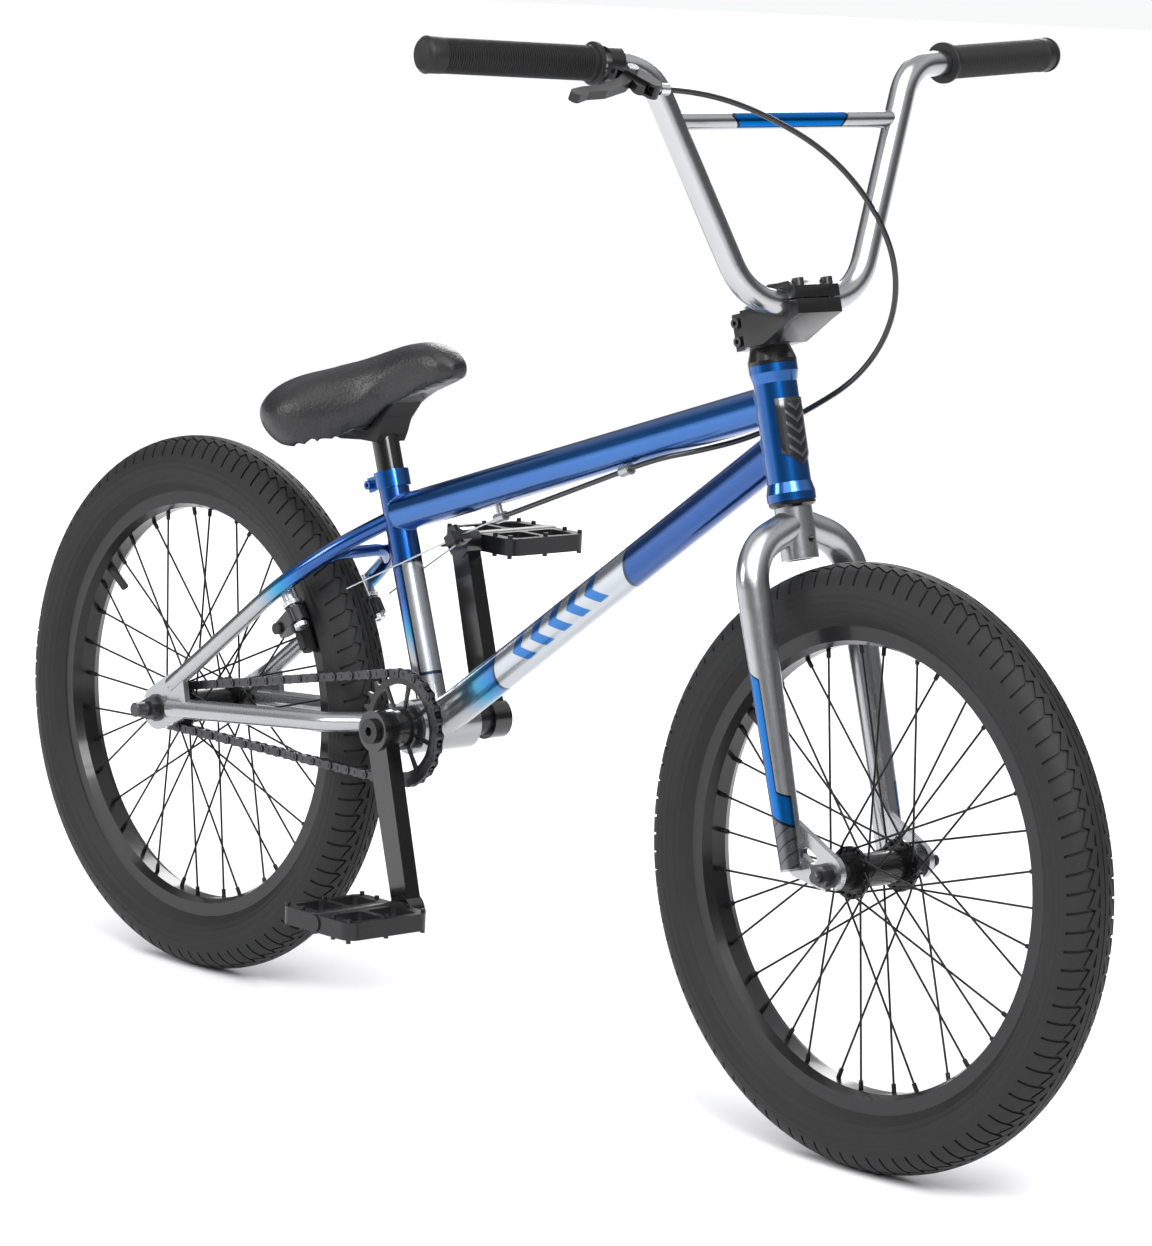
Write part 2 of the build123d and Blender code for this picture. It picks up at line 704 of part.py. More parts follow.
# Brake lever on the right: X runs outwards along the bar, Y away from the bar.
bar_out = Vector(bar_line.X, -bar_line.Y, bar_line.Z)
level = Vector(bar_out.Y, -bar_out.X, 0).normalized() * -1
below = level.cross(bar_out)
below = below if below.Z < 0 else below * -1
away = level * cosine(lever_drop) + below * sine(lever_drop)
lever_frame = steering * Plane(mirror_point(grip_bend), x_dir=bar_out, z_dir=bar_out.cross(away))
pivot_x, pivot_y = lever_pivot
blade_points = [
    (pivot_x, pivot_y, 5.5),
    (44, 34, 5),
    (70, 47, 4.6),
    (90, 51, 4.4),
    (101, 56, 5),
]
blade = blob(*blade_points) + blob((pivot_x, pivot_y, 5.5), (pivot_x + 2, lever_cable, 5))
blade -= Pos(pivot_x, pivot_y) * Circle(3 + running_fit)
blade = extrude(blade, 4, both=True)
save("brake_lever", lever_frame * blade)

cheek = blob((pivot_x, pivot_y, 7.5), (16, lever_cable, 6.5))
cheek += blob((pivot_x, pivot_y, 7.5), (clamp_place, 8, 7))
bracket = extrude(cheek, 6.6, both=True)
clamp_from = (clamp_place - clamp_width / 2, 0, 0)
clamp_to = (clamp_place + clamp_width / 2, 0, 0)
bracket += rod(clamp_from, clamp_to, bar_radius + 3.5)
bracket += Pos(clamp_place, 0, -17) * Box(12, 9, 14)
bracket -= rod((-20, 0, 0), (80, 0, 0), bar_radius)
lever_room = extrude(
    blob(*[(x, y, r + 1.2) for x, y, r in blade_points]) + Pos(pivot_x + 7, 36) * Rectangle(31, 30), 4.3, both=True
)
lever_room += extrude(blob((pivot_x, pivot_y, 7.0), (44, 26, 7.0)), 4.3, both=True)
lever_room += extrude(Pos(46, 32) * Rectangle(34, 18), 4.3, both=True)
bracket -= lever_room
bracket -= rod((pivot_x, pivot_y, -8), (pivot_x, pivot_y, 8), 3)
bracket -= rod((0, lever_cable, 0), (30, lever_cable, 0), 3)
bracket -= rod((clamp_place, 0, -30), (clamp_place, 0, -8), 2.2)
bracket -= rod((-20, 0, 0), (80, 0, 0), bar_radius)
save("lever_bracket", biggest(lever_frame * bracket - steering * bar_solid))

lever_pin = rod((pivot_x, pivot_y, -6.6), (pivot_x, pivot_y, 6.6), 3)
lever_pin += rod((pivot_x, pivot_y, 6.6), (pivot_x, pivot_y, 9), 5)
clamp_screw = rod((clamp_place, 0, -24), (clamp_place, 0, -11.5), 2.2)
clamp_screw += rod((clamp_place, 0, -28), (clamp_place, 0, -24), 4)
clamp_screw -= rod((clamp_place, 0, -29), (clamp_place, 0, -26), 2)
barrel = rod((1, lever_cable, 0), (9.5, lever_cable, 0), 5)
barrel += rod((9.5, lever_cable, 0), (18, lever_cable, 0), 3)
barrel -= rod((0, lever_cable, 0), (7.15, lever_cable, 0), housing_radius + loose_fit)
barrel -= rod((0, lever_cable, 0), (30, lever_cable, 0), wire_radius + 0.3)
save("lever_hardware", *[lever_frame * piece for piece in (lever_pin, clamp_screw, barrel)])

# Wheels: the same tyre, tube, rim, spokes and nipples front and rear, round the Y axis.
tyre_half = tyre_width / 2
tyre_centre = tyre_radius - tyre_half
cavity_half = tyre_half - casing_wall
rim_edge = bead_radius + flange_height
rim_inside = rim_edge - rim_depth
rim_half = rim_width / 2
flange_wall = 1.7
seat_half = rim_half - flange_wall

casing = Circle(tyre_half) - Circle(cavity_half)
casing = Pos(tyre_centre, 0) * casing & Pos(rim_edge + 0.4 + 50, 0) * Rectangle(100, 80)
bead = Polygon(
    (bead_radius + 0.3, seat_half - 5),
    (rim_edge + 2.5, seat_half - 3.4),
    (rim_edge + 2.5, seat_half + 3.8),
    (rim_edge + 0.4, seat_half + 1.5),
    (rim_edge + 0.4, seat_half - 0.1),
    (bead_radius + 0.3, seat_half - 0.1),
    align=None,
)
tyre_section = casing + bead + mirror(bead, about=Plane.XZ)
tyre = revolve(tyre_section, Axis.Y)

rim = spun(
    (rim_inside, -8),
    (rim_inside + 4, -rim_half),
    (rim_edge, -rim_half),
    (rim_edge, -seat_half),
    (bead_radius, -seat_half),
    (bead_radius - 0.5, -8.6),
    (bead_radius - 4.5, -6.5),
    (bead_radius - 4.5, 6.5),
    (bead_radius - 0.5, 8.6),
    (bead_radius, seat_half),
    (rim_edge, seat_half),
    (rim_edge, rim_half),
    (rim_inside + 4, rim_half),
    (rim_inside, 8),
)
rim_cavity = spun(
    (rim_inside + 1.8, -7.6),
    (rim_inside + 5, -rim_half + 1.7),
    (bead_radius - 2.2, -rim_half + 1.7),
    (bead_radius - 6.2, -6.8),
    (bead_radius - 6.2, 6.8),
    (bead_radius - 2.2, rim_half - 1.7),
    (rim_inside + 5, rim_half - 1.7),
    (rim_inside + 1.8, 7.6),
)
rim -= rim_cavity


def spoke_ends(side, leading):
    """Where one spoke leaves its hub flange and where it meets the rim, at turn zero."""
    layer = hub_flange_width / 2 + spoke_radius + 0.2
    layer = -layer if leading else layer
    twist = spoke_crosses * 720 / spoke_count
    hub_turn = 720 / spoke_count / 2 if side < 0 else 0
    hub_turn += 720 / spoke_count if leading else 0
    rim_turn = hub_turn + (twist if leading else -twist)
    place = side * (hub_flange_place + layer)
    hub_end_at = Vector(hub_hole_radius * cosine(hub_turn), place, hub_hole_radius * sine(hub_turn))
    rim_end_at = Vector(rim_inside * cosine(rim_turn), side * 3, rim_inside * sine(rim_turn))
    return hub_end_at, rim_end_at, side * (hub_flange_place - layer)


spokes = []
nipples = []
spoke_holes = []
flange_holes = []
for side in (-1, 1):
    for leading in (False, True):
        leave, meet, head_place = spoke_ends(side, leading)
        line = (meet - leave).normalized()
        head_at = Vector(leave.X, head_place, leave.Z)
        across = (head_at - leave).normalized()
        knee = leave if leading else leave + Vector(line.X, 0, line.Z) * 12
        line = (meet - knee).normalized()
        spoke = rod(knee, meet - line * 0.5, spoke_radius) + Pos(leave) * Sphere(spoke_radius)
        if not leading:
            spoke += Pos(knee) * Sphere(spoke_radius)
            spoke += rod(leave, knee, spoke_radius)
        spoke += rod(leave, head_at, spoke_radius)
        spoke += rod(head_at, head_at + across * 1.2, 1.9, 1.2)
        nipple_from = meet - line * 8
        nipple = rod(nipple_from, meet + line * 2.9, nipple_radius)
        nipple += rod(meet + line * 2.9, meet + line * 5, 2.9)
        nipple -= rod(nipple_from, meet + line * 0.2, spoke_radius + running_fit)
        hole = rod(meet - line * 3, meet + line * 3.5, nipple_radius + 0.2)
        flange_hole = rod(leave, head_at, spoke_radius + 0.15)
        count = spoke_count // 4
        spokes += around(spoke, Axis.Y, count)
        nipples += around(nipple, Axis.Y, count)
        spoke_holes += around(hole, Axis.Y, count)
        flange_holes += around(flange_hole, Axis.Y, count)

valve_turn = 145.0
valve_out = Vector(cosine(valve_turn), 0, sine(valve_turn))
valve_reach = rim_inside - 26
valve_hole = rod(valve_out * (rim_inside - 4), valve_out * (bead_radius + 2), 4.3)
rim = biggest(rim - spoke_holes - valve_hole)
tube_half = cavity_half - loose_fit - 2.5
tube_centre = tyre_centre + 2.5
tube_section = Circle(tube_half) - Circle(tube_half - tube_wall_thickness)
inner_tube = revolve(Pos(tube_centre, 0) * tube_section, Axis.Y)
valve_root = tube_centre - tube_half + tube_wall_thickness / 2
inner_tube += rod(valve_out * valve_reach, valve_out * valve_root, 3.9)
inner_tube = biggest(inner_tube)


def hub(left_end, right_end, bearing_pockets, spigot_room=0.0):
    """The hub shell: a barrel between two drilled flanges, bored for its bearings."""
    edge = hub_flange_width / 2
    shell = rod((0, -right_end, 0), (0, left_end, 0), hub_body_radius)
    for side in (-1, 1):
        middle = side * hub_flange_place
        shell += rod((0, middle - edge, 0), (0, middle + edge, 0), hub_flange_radius)
    shell -= rod((0, -right_end, 0), (0, left_end, 0), hub_bore - 1.5)
    for near, far in bearing_pockets:
        shell -= rod((0, near, 0), (0, far, 0), hub_bore)
    return biggest(shell - flange_holes)


def bearing(near, far, bore):
    return ring((0, near, 0), (0, far, 0), hub_bore, bore + running_fit)


wheel_pieces = {"tyre": [tyre], "inner_tube": [inner_tube], "rim": [rim], "spokes": spokes, "nipples": nipples}
front_bearings = ((-hub_end, -hub_end + 9), (hub_end - 9, hub_end))
front_hub = [hub(hub_end, hub_end, front_bearings)]
front_hub += [bearing(near, far, front_axle_radius) for near, far in front_bearings]
driver_face = 33.5
spigot_end = 18.0
rear_right_bearing = (-spigot_end + 1, -spigot_end + 9)
rear_bearings = ((rear_hub_end - 9, rear_hub_end), rear_right_bearing)
rear_pockets = ((rear_hub_end - 9, rear_hub_end), (-driver_face + 0.5, -spigot_end + 9))
rear_hub = [hub(rear_hub_end, driver_face - 0.5, rear_pockets)]
rear_hub += [bearing(near, far, rear_axle_radius) for near, far in rear_bearings]
for wheel, place, hub_pieces in (("front", front_hub_place, front_hub), ("rear", rear_hub_place, rear_hub)):
    for name, pieces in wheel_pieces.items():
        save(f"{wheel}_{name}", *[place * piece for piece in pieces])
    save(f"{wheel}_hub", *[place * piece for piece in hub_pieces])


# Toothed wheels and the chain that joins them.
def toothed(pitch_radius, teeth, tip, first_turn):
    """A toothed disc in the XZ plane, with a gap for a roller at first_turn degrees."""
    gap = blob((pitch_radius, 0, roller_radius + 0.25), (pitch_radius + 5, 0, 6.1))
    disc = Circle(pitch_radius + tip)
    for tooth in range(teeth):
        disc -= Rot(0, 0, first_turn + 360 / teeth * tooth) * gap
    return disc


def upright(sketch, near, thickness):
    """A sketch drawn as seen from the right, raised towards the left from Y = near."""
    return extrude(Plane((0, near, 0), x_dir=(1, 0, 0), z_dir=(0, -1, 0)) * sketch, -thickness)


# Angles are seen from the right, counter-clockwise from straight ahead. Pin 0 leaves the sprocket at the top.
chain_tilt = math.degrees(math.atan2(bracket_rise, bracket_x - rear_x))
wrap = math.degrees(math.asin((sprocket_pitch - driver_pitch) / chain_centres))
run = chain_centres * cosine(wrap)
top_turn = 90 + wrap + chain_tilt
bottom_turn = -90 - wrap + chain_tilt
run_pins = run / chain_pitch
driver_pins = driver_teeth * (180 - 2 * wrap) / 360


def turn_point(centre, radius, turn):
    return centre + Vector(radius * cosine(turn), 0, radius * sine(turn))


def pin_place(pins):
    """The place of a chain pin, counted in pitches from the top of the sprocket towards the rear."""
    pins = pins % chain_links
    leave_top = turn_point(bracket_at, sprocket_pitch, top_turn)
    reach_top = turn_point(rear_axle_at, driver_pitch, top_turn)
    leave_low = turn_point(rear_axle_at, driver_pitch, bottom_turn)
    reach_low = turn_point(bracket_at, sprocket_pitch, bottom_turn)
    if pins < run_pins:
        return leave_top + (reach_top - leave_top) * (pins / run_pins)
    pins -= run_pins
    if pins < driver_pins:
        return turn_point(rear_axle_at, driver_pitch, top_turn + pins * 360 / driver_teeth)
    pins -= driver_pins
    if pins < run_pins:
        return leave_low + (reach_low - leave_low) * (pins / run_pins)
    pins -= run_pins
    return turn_point(bracket_at, sprocket_pitch, bottom_turn + pins * 360 / sprocket_teeth)


plate_outline = blob((0, 0, plate_height / 2), (chain_pitch / 2, 0, plate_height / 2 - 0.9))
plate_outline += blob((chain_pitch / 2, 0, plate_height / 2 - 0.9), (chain_pitch, 0, plate_height / 2))
inner_near = roller_width / 2 + 0.1
outer_near = inner_near + plate_thickness + 0.15
pin_holes = Circle(1.8) + Pos(chain_pitch, 0) * Circle(1.8)
inner_plate = upright(plate_outline - pin_holes, inner_near, plate_thickness)
roller = upright(Circle(roller_radius) - Circle(1.8), -inner_near, 2 * inner_near)
inner_link = inner_plate + mirrored(inner_plate) + roller + Pos(chain_pitch, 0, 0) * roller
outer_plate = upright(plate_outline, outer_near, plate_thickness)
pin_half = outer_near + plate_thickness + 0.5
pin = rod((0, -pin_half, 0), (0, pin_half, 0), 1.7)
outer_link = outer_plate + mirrored(outer_plate) + pin + Pos(chain_pitch, 0, 0) * pin

# With an odd number of links, the last one is cranked: inner at its first pin, outer at its second.
first_half = Pos(-chain_pitch / 2, 0) * Rectangle(2 * chain_pitch, plate_height)
plate_far = outer_near + plate_thickness
cranked_plate = upright((plate_outline & first_half) - Circle(1.8), inner_near, plate_thickness)
cranked_plate += upright(plate_outline - first_half, outer_near, plate_thickness)
step = Pos(chain_pitch / 2, 0) * Rectangle(1.6, plate_height - 1.8)
cranked_plate += upright(step, inner_near, plate_far - inner_near)
cranked_link = cranked_plate + mirrored(cranked_plate) + roller + Pos(chain_pitch, 0, 0) * pin
chain = []
for link in range(chain_links):
    shape = outer_link if link % 2 else inner_link
    if link % 2 == 0 and link == chain_links - 1:
        shape = cranked_link
    start = pin_place(link)
    direction = pin_place(link + 1) - start
    middle = start + direction * 0.5
    across = direction.cross(Vector(0, 1, 0))
    frame = Plane(middle + Vector(0, chain_plane, 0), x_dir=direction, z_dir=across)
    chain.append(frame * Pos(-chain_pitch / 2, 0, 0) * shape)
save("chain", *chain)

tooth_near = chain_plane - tooth_width / 2
driver_turn = math.ceil(run_pins) - run_pins
driver_disc = toothed(driver_pitch, driver_teeth, 1.5, top_turn + driver_turn * 360 / driver_teeth)
driver_bore = rear_axle_radius + running_fit
driver = upright(driver_disc, tooth_near, tooth_width)
driver += rod((0, -driver_end, 0), (0, -driver_face, 0), driver_boss_radius)
driver += rod((0, -driver_face, 0), (0, -spigot_end, 0), hub_bore - 0.1)
driver -= rod((0, -driver_end, 0), (0, -spigot_end, 0), driver_bore)
save("driver", rear_hub_place * driver)

window_inner = 20.0
window_outer = 40.5
window_count = 8
pins_before = 2 * run_pins + driver_pins
sprocket_turn = bottom_turn + (math.ceil(pins_before) - pins_before) * 360 / sprocket_teeth
sprocket_disc = toothed(sprocket_pitch, sprocket_teeth, 3.0, sprocket_turn)
window_wedge = Polygon((0, 0), (60, -21.5), (60, 21.5), align=None)
window = (Circle(window_outer) - Circle(window_inner)) & window_wedge
for turn in range(window_count):
    sprocket_disc -= Rot(0, 0, 11 + 360 / window_count * turn) * window
sprocket_disc -= Circle(spindle_radius)
save("sprocket", bracket_place * upright(sprocket_disc, tooth_near, tooth_width))

# Cranks. The right arm points down and forward, the left one opposite.
arm_turn = crank_lean - 90
arm_outer = arm_inner + arm_thickness


def crank_arm(turn):
    """An arm on the left side, pointing to the given turn."""
    far = (crank_length, 0)
    boss = Circle(19) - Circle(spindle_radius)
    eye = Pos(*far) * (Circle(14.5) - Circle(pedal_axle_radius + 2))
    beam = blob((0, 0, 13), (crank_length, 0, 11))
    beam -= Circle(18)
    beam -= Pos(*far) * Circle(13)
    shape = extrude(boss, arm_thickness) + extrude(eye, arm_thickness - 2)
    shape += Pos(0, 0, 1) * extrude(beam, arm_thickness - 4)
    return Plane((0, arm_inner, 0), x_dir=(cosine(turn), 0, sine(turn)), z_dir=(0, 1, 0)) * biggest(shape)


right_arm = bracket_place * mirrored(crank_arm(arm_turn))
left_arm = bracket_place * crank_arm(arm_turn + 180)
save("crank_arm_right", right_arm)
save("crank_arm_left", left_arm)

spindle_end = arm_outer
spindle = ring((0, -spindle_end, 0), (0, spindle_end, 0), spindle_radius, 7)
sleeve_bore = spindle_radius
spindle_face = shell_width / 2 + loose_fit
tooth_far = chain_plane + tooth_width / 2
left_sleeve = ring((0, spindle_face, 0), (0, arm_inner, 0), 15, sleeve_bore)
right_sleeve = ring((0, tooth_far, 0), (0, -spindle_face, 0), 15, sleeve_bore)
right_spacer = ring((0, -arm_inner, 0), (0, tooth_near, 0), 17, sleeve_bore)
spindle_bolt = rod((0, spindle_end - 16, 0), (0, spindle_end, 0), 7)
spindle_bolt += rod((0, spindle_end, 0), (0, spindle_end + 4.5, 0), 11.5)
spindle_bolt -= upright(RegularPolygon(4, 6, major_radius=False), spindle_end, 6)
spindle_pieces = (spindle, left_sleeve, right_sleeve, right_spacer, spindle_bolt, mirrored(spindle_bolt))
save("crank_spindle", *[bracket_place * piece for piece in spindle_pieces])

# Pedals, level, on axles screwed into the arms.
pedal_near = arm_outer + 2.5
pedal_far = pedal_near + pedal_width
right_pedal_at = turn_point(bracket_at, crank_length, arm_turn)
left_pedal_at = turn_point(bracket_at, crank_length, arm_turn + 180)
pedal_axle = rod((0, arm_inner, 0), (0, arm_outer - 2, 0), pedal_axle_radius + 2)
pedal_axle += rod((0, arm_outer - 2, 0), (0, pedal_near - 0.5, 0), 8.5)
pedal_axle += rod((0, pedal_near - 0.5, 0), (0, pedal_far - 5, 0), pedal_axle_radius)
save("pedal_axles", Pos(right_pedal_at) * mirrored(pedal_axle), Pos(left_pedal_at) * pedal_axle)

half_length = pedal_length / 2
half_width = pedal_width / 2
cage = RectangleRounded(pedal_length, pedal_width, 12)
for window_x in (-1, 1):
    for window_y in (-1, 1):
        cage -= Pos(window_x * 27, window_y * 20) * RectangleRounded(32, 33, 5)
pedal = extrude(cage, pedal_height / 2 - 1.5, both=True)
pedal += rod((0, -half_width, 0), (0, half_width, 0), 9.8)
pedal += rod((0, half_width, 0), (0, half_width + 1.5, 0), 8)
for pin_x in (-half_length + 6, -half_length + 27, half_length - 27, half_length - 6):
    for pin_y in (-half_width + 4.5, half_width - 4.5):
        pedal += rod((pin_x, pin_y, -pedal_height / 2 - 1.5), (pin_x, pin_y, pedal_height / 2 + 1.5), 2.2)
for pin_x in (-half_length + 5.5, half_length - 5.5):
    pedal += rod((pin_x, 0, -pedal_height / 2 - 1.5), (pin_x, 0, pedal_height / 2 + 1.5), 2.2)
pedal -= rod((0, -half_width - 2, 0), (0, half_width - 4, 0), pedal_axle_radius + running_fit)
pedal = Pos(0, pedal_near + half_width, 0) * biggest(pedal)
save("pedal_left", Pos(left_pedal_at) * pedal)
save("pedal_right", Pos(right_pedal_at) * mirrored(pedal))


# Rear brake: two arms cross over the tyre and a straddle wire pulls both.
def brake_arm(layer_near, layer_far):
    """The left arm, in the brake frame: its eye, its arch over the tyre, its pad post."""
    arch = blob(
        (pivot_spread, pivot_radius, 9.5),
        (42, 257, 7),
        (15, 276, 6.5),
        (-anchor_spread, anchor_radius, 5.5),
    )
    post_arm = blob((pivot_spread, pivot_radius, 9.5), (pivot_spread - 2, pad_radius, 7.5))
    eye = Pos(pivot_spread, pivot_radius) * Circle(4 + running_fit)
    low = brake_depth - arm_layer
    high = brake_depth + arm_layer
    shape = Pos(0, 0, layer_near) * extrude(arch, layer_far - layer_near)
    shape += Pos(0, 0, low) * extrude(Pos(pivot_spread, pivot_radius) * Circle(9.5), high - low)
    shape += Pos(0, 0, brake_depth - 7) * extrude(post_arm, 14)
    shape += rod((-anchor_spread, anchor_radius, layer_near), (-anchor_spread, anchor_radius, layer_far + 4), 4)
    shape -= Pos(0, 0, low) * extrude(eye, high - low)
    shape -= rod((20, pad_radius, brake_depth), (60, pad_radius, brake_depth), 3)
    return biggest(shape)


left_brake_arm = brake_arm(brake_depth - arm_layer, brake_depth - 0.3)
right_brake_arm = mirror(brake_arm(brake_depth + 0.3, brake_depth + arm_layer), about=Plane.YZ)
save("brake_arm_left", brake * left_brake_arm)
save("brake_arm_right", brake * right_brake_arm)

pad_face = rim_half + pad_gap
pad_tilt = math.degrees(math.asin(brake_depth / pad_radius))
pad_block = Box(9, 10, 50, align=(Align.MIN, Align.CENTER, Align.CENTER))
pad_holder = Box(3, 8, 44, align=(Align.MIN, Align.CENTER, Align.CENTER))
pad_shoe = Pos(pad_face, 0, 0) * pad_block + Pos(pad_face + 9, 0, 0) * pad_holder
pad_shoe = Rot(pad_tilt, 0, 0) * Pos(0, pad_radius, 0) * pad_shoe
pad_post = rod((pad_face + 11, pad_radius, brake_depth), (pad_post_end, pad_radius, brake_depth), 3)
pad_post += rod((53.6, pad_radius, brake_depth), (pad_post_end, pad_radius, brake_depth), 5.5)
pad_post += rod((pad_face + 12, pad_radius, brake_depth), (36.9, pad_radius, brake_depth), 6)
left_pad = pad_shoe + pad_post
save("brake_pad_left", brake * left_pad)
save("brake_pad_right", brake * mirror(left_pad, about=Plane.YZ))

bolt_head = brake_depth + arm_layer + 0.3
pivot_bolt = rod((pivot_spread, pivot_radius, -1), (pivot_spread, pivot_radius, bolt_head), 4)
pivot_bolt += rod((pivot_spread, pivot_radius, bolt_head), (pivot_spread, pivot_radius, bolt_head + 4), 7)
bolt_socket = (pivot_spread, pivot_radius, bolt_head + 1), (pivot_spread, pivot_radius, bolt_head + 5)
pivot_bolt -= rod(*bolt_socket, 2.5)
spring = Part()
for coil in range(3):
    spring += Pos(pivot_spread, pivot_radius, boss_end - 1.1 - 1.5 * coil) * Torus(8.5, 0.9)
spring_pieces = (pivot_bolt, spring)
pivot_set = [brake * piece for piece in spring_pieces]
pivot_set += [brake * mirror(piece, about=Plane.YZ) for piece in spring_pieces]
save("brake_pivots", *pivot_set)

carrier = Pos(0, carrier_radius, carrier_depth) * Box(22, 12, 9)
carrier += rod((0, carrier_radius, carrier_depth - 12), (0, carrier_radius, carrier_depth + 7), 4.5)
carrier += Pos(0, carrier_radius - 12, carrier_depth - 3.5) * Box(7, 18, 2)
carrier_bore = (0, carrier_radius + 1, carrier_depth), (0, carrier_radius + 20, carrier_depth)
carrier -= rod(*carrier_bore, wire_radius + 0.1)
save("straddle_carrier", brake * biggest(carrier))

wires = []
for side, depth in ((1, brake_depth + arm_layer + 2.4), (-1, brake_depth - 0.3 + 2.4)):
    anchor = Vector(side * anchor_spread, anchor_radius + 4.4, depth)
    hold = Vector(side * 9.5, carrier_radius - 6.6, carrier_depth)
    wires.append(rod(anchor, hold, wire_radius))
stop_exit = stop_at - housing_line * 5.6
wires = [brake * wire for wire in wires]
carrier_top = on_brake(0, carrier_radius + 7, carrier_depth)
wires.append(rod(carrier_top, stop_exit, wire_radius))
save("straddle_wire", *wires)

# The cable housing, from the lever's barrel to the stop under the top tube.
housing_route = [
    (327.0, -167.2, 904.7),
    (333.4, -127.7, 903.4),
    (357, -76, 886),
    (387, -30, 856),
    (412, 2, 812),
    (423, 22, 762),
    (406, 36, 710),
    (366, 41, 663),
    (312, 35, 629),
    (262, 20, 601),
    (222, -2, 586),
    (178, -13, 574),
    (-38, 0, 493.5),
]
housing_bends = []
for before, corner, after in zip(housing_route, housing_route[1:], housing_route[2:]):
    run_in = Vector(*corner) - Vector(*before)
    run_out = Vector(*after) - Vector(*corner)
    half_turn = math.radians(run_in.get_angle(run_out) / 2)
    housing_bends.append(0.45 * min(run_in.length, run_out.length) / math.tan(half_turn))
print("housing bend radii", [round(bend) for bend in housing_bends])
housing = pipe(housing_route, housing_bends, housing_radius)
save("brake_cable_housing", housing)
housing_length = FilletPolyline(*housing_route, radius=housing_bends).length
volume_share = housing.volume / housing_length / math.pi / housing_radius**2
print("housing length", round(housing_length), "volume share", round(volume_share, 3))
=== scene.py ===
import bpy
import math
from mathutils import Matrix, Vector


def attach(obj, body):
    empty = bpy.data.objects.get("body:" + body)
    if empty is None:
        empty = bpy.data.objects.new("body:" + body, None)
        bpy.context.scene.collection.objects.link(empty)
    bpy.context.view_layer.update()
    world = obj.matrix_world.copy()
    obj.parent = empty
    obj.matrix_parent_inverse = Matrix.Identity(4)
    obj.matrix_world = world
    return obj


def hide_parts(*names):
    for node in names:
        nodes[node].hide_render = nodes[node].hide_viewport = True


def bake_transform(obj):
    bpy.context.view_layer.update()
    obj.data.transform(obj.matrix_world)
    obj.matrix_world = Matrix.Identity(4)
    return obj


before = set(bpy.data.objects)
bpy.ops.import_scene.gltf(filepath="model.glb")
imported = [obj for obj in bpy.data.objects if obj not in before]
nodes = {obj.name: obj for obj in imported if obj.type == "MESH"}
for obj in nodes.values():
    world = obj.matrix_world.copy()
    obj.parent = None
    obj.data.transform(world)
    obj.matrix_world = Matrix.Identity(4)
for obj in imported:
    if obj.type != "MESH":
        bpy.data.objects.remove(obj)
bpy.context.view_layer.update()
ops = bpy.ops
scene = bpy.context.scene
print("bike loaded,", len(nodes), "parts")


# Camera: a long lens from the front right, a little above the bars.
cameraSet = {"at": (3.4169, -3.0767, 1.1269), "yaw": 2.3983, "pitch": -0.1558, "roll": 0.0430, "lens": 149.35}


def addCamera(c):
    flat = math.cos(c["pitch"])
    forward = Vector((flat * math.cos(c["yaw"]), flat * math.sin(c["yaw"]), math.sin(c["pitch"])))
    right = forward.cross(Vector((0, 0, 1))).normalized()
    up = right.cross(forward)
    turn, lean = math.cos(c["roll"]), math.sin(c["roll"])
    across, upright = right * turn + up * lean, up * turn - right * lean
    place = Matrix((across, upright, -forward)).transposed().to_4x4()
    place.translation = Vector(c["at"])
    data = bpy.data.cameras.new("studioCamera")
    data.lens = c["lens"]
    data.clip_end = 60
    camera = bpy.data.objects.new("studioCamera", data)
    scene.collection.objects.link(camera)
    camera.matrix_world = place
    scene.camera = camera


addCamera(cameraSet)


# Shader building: a Value is a socket that takes part in sums, a Finish is one material.
class Value:
    def __init__(self, tree, socket):
        self.tree, self.socket = tree, socket

    def sum(self, operation, *others, swap=False):
        node = self.tree.nodes.new("ShaderNodeMath")
        node.operation = operation
        parts = (self, *others)
        for place, part in zip(node.inputs, reversed(parts) if swap else parts):
            if isinstance(part, Value):
                self.tree.links.new(part.socket, place)
            else:
                place.default_value = part
        return Value(self.tree, node.outputs[0])

    def __add__(self, other): return self.sum("ADD", other)
    def __radd__(self, other): return self.sum("ADD", other)
    def __sub__(self, other): return self.sum("SUBTRACT", other)
    def __rsub__(self, other): return self.sum("SUBTRACT", other, swap=True)
    def __mul__(self, other): return self.sum("MULTIPLY", other)
    def __rmul__(self, other): return self.sum("MULTIPLY", other)
    def __abs__(self): return self.sum("ABSOLUTE")
    def above(self, edge, soft=0.0005): return self.sum("MULTIPLY_ADD", 1 / soft, 0.5 - edge / soft).clamped()
    def below(self, edge, soft=0.0005): return 1 - self.above(edge, soft)
    def wrapped(self, step): return self.sum("WRAP", step, 0.0)
    def clamped(self): return self.sum("MINIMUM", 1.0).sum("MAXIMUM", 0.0)


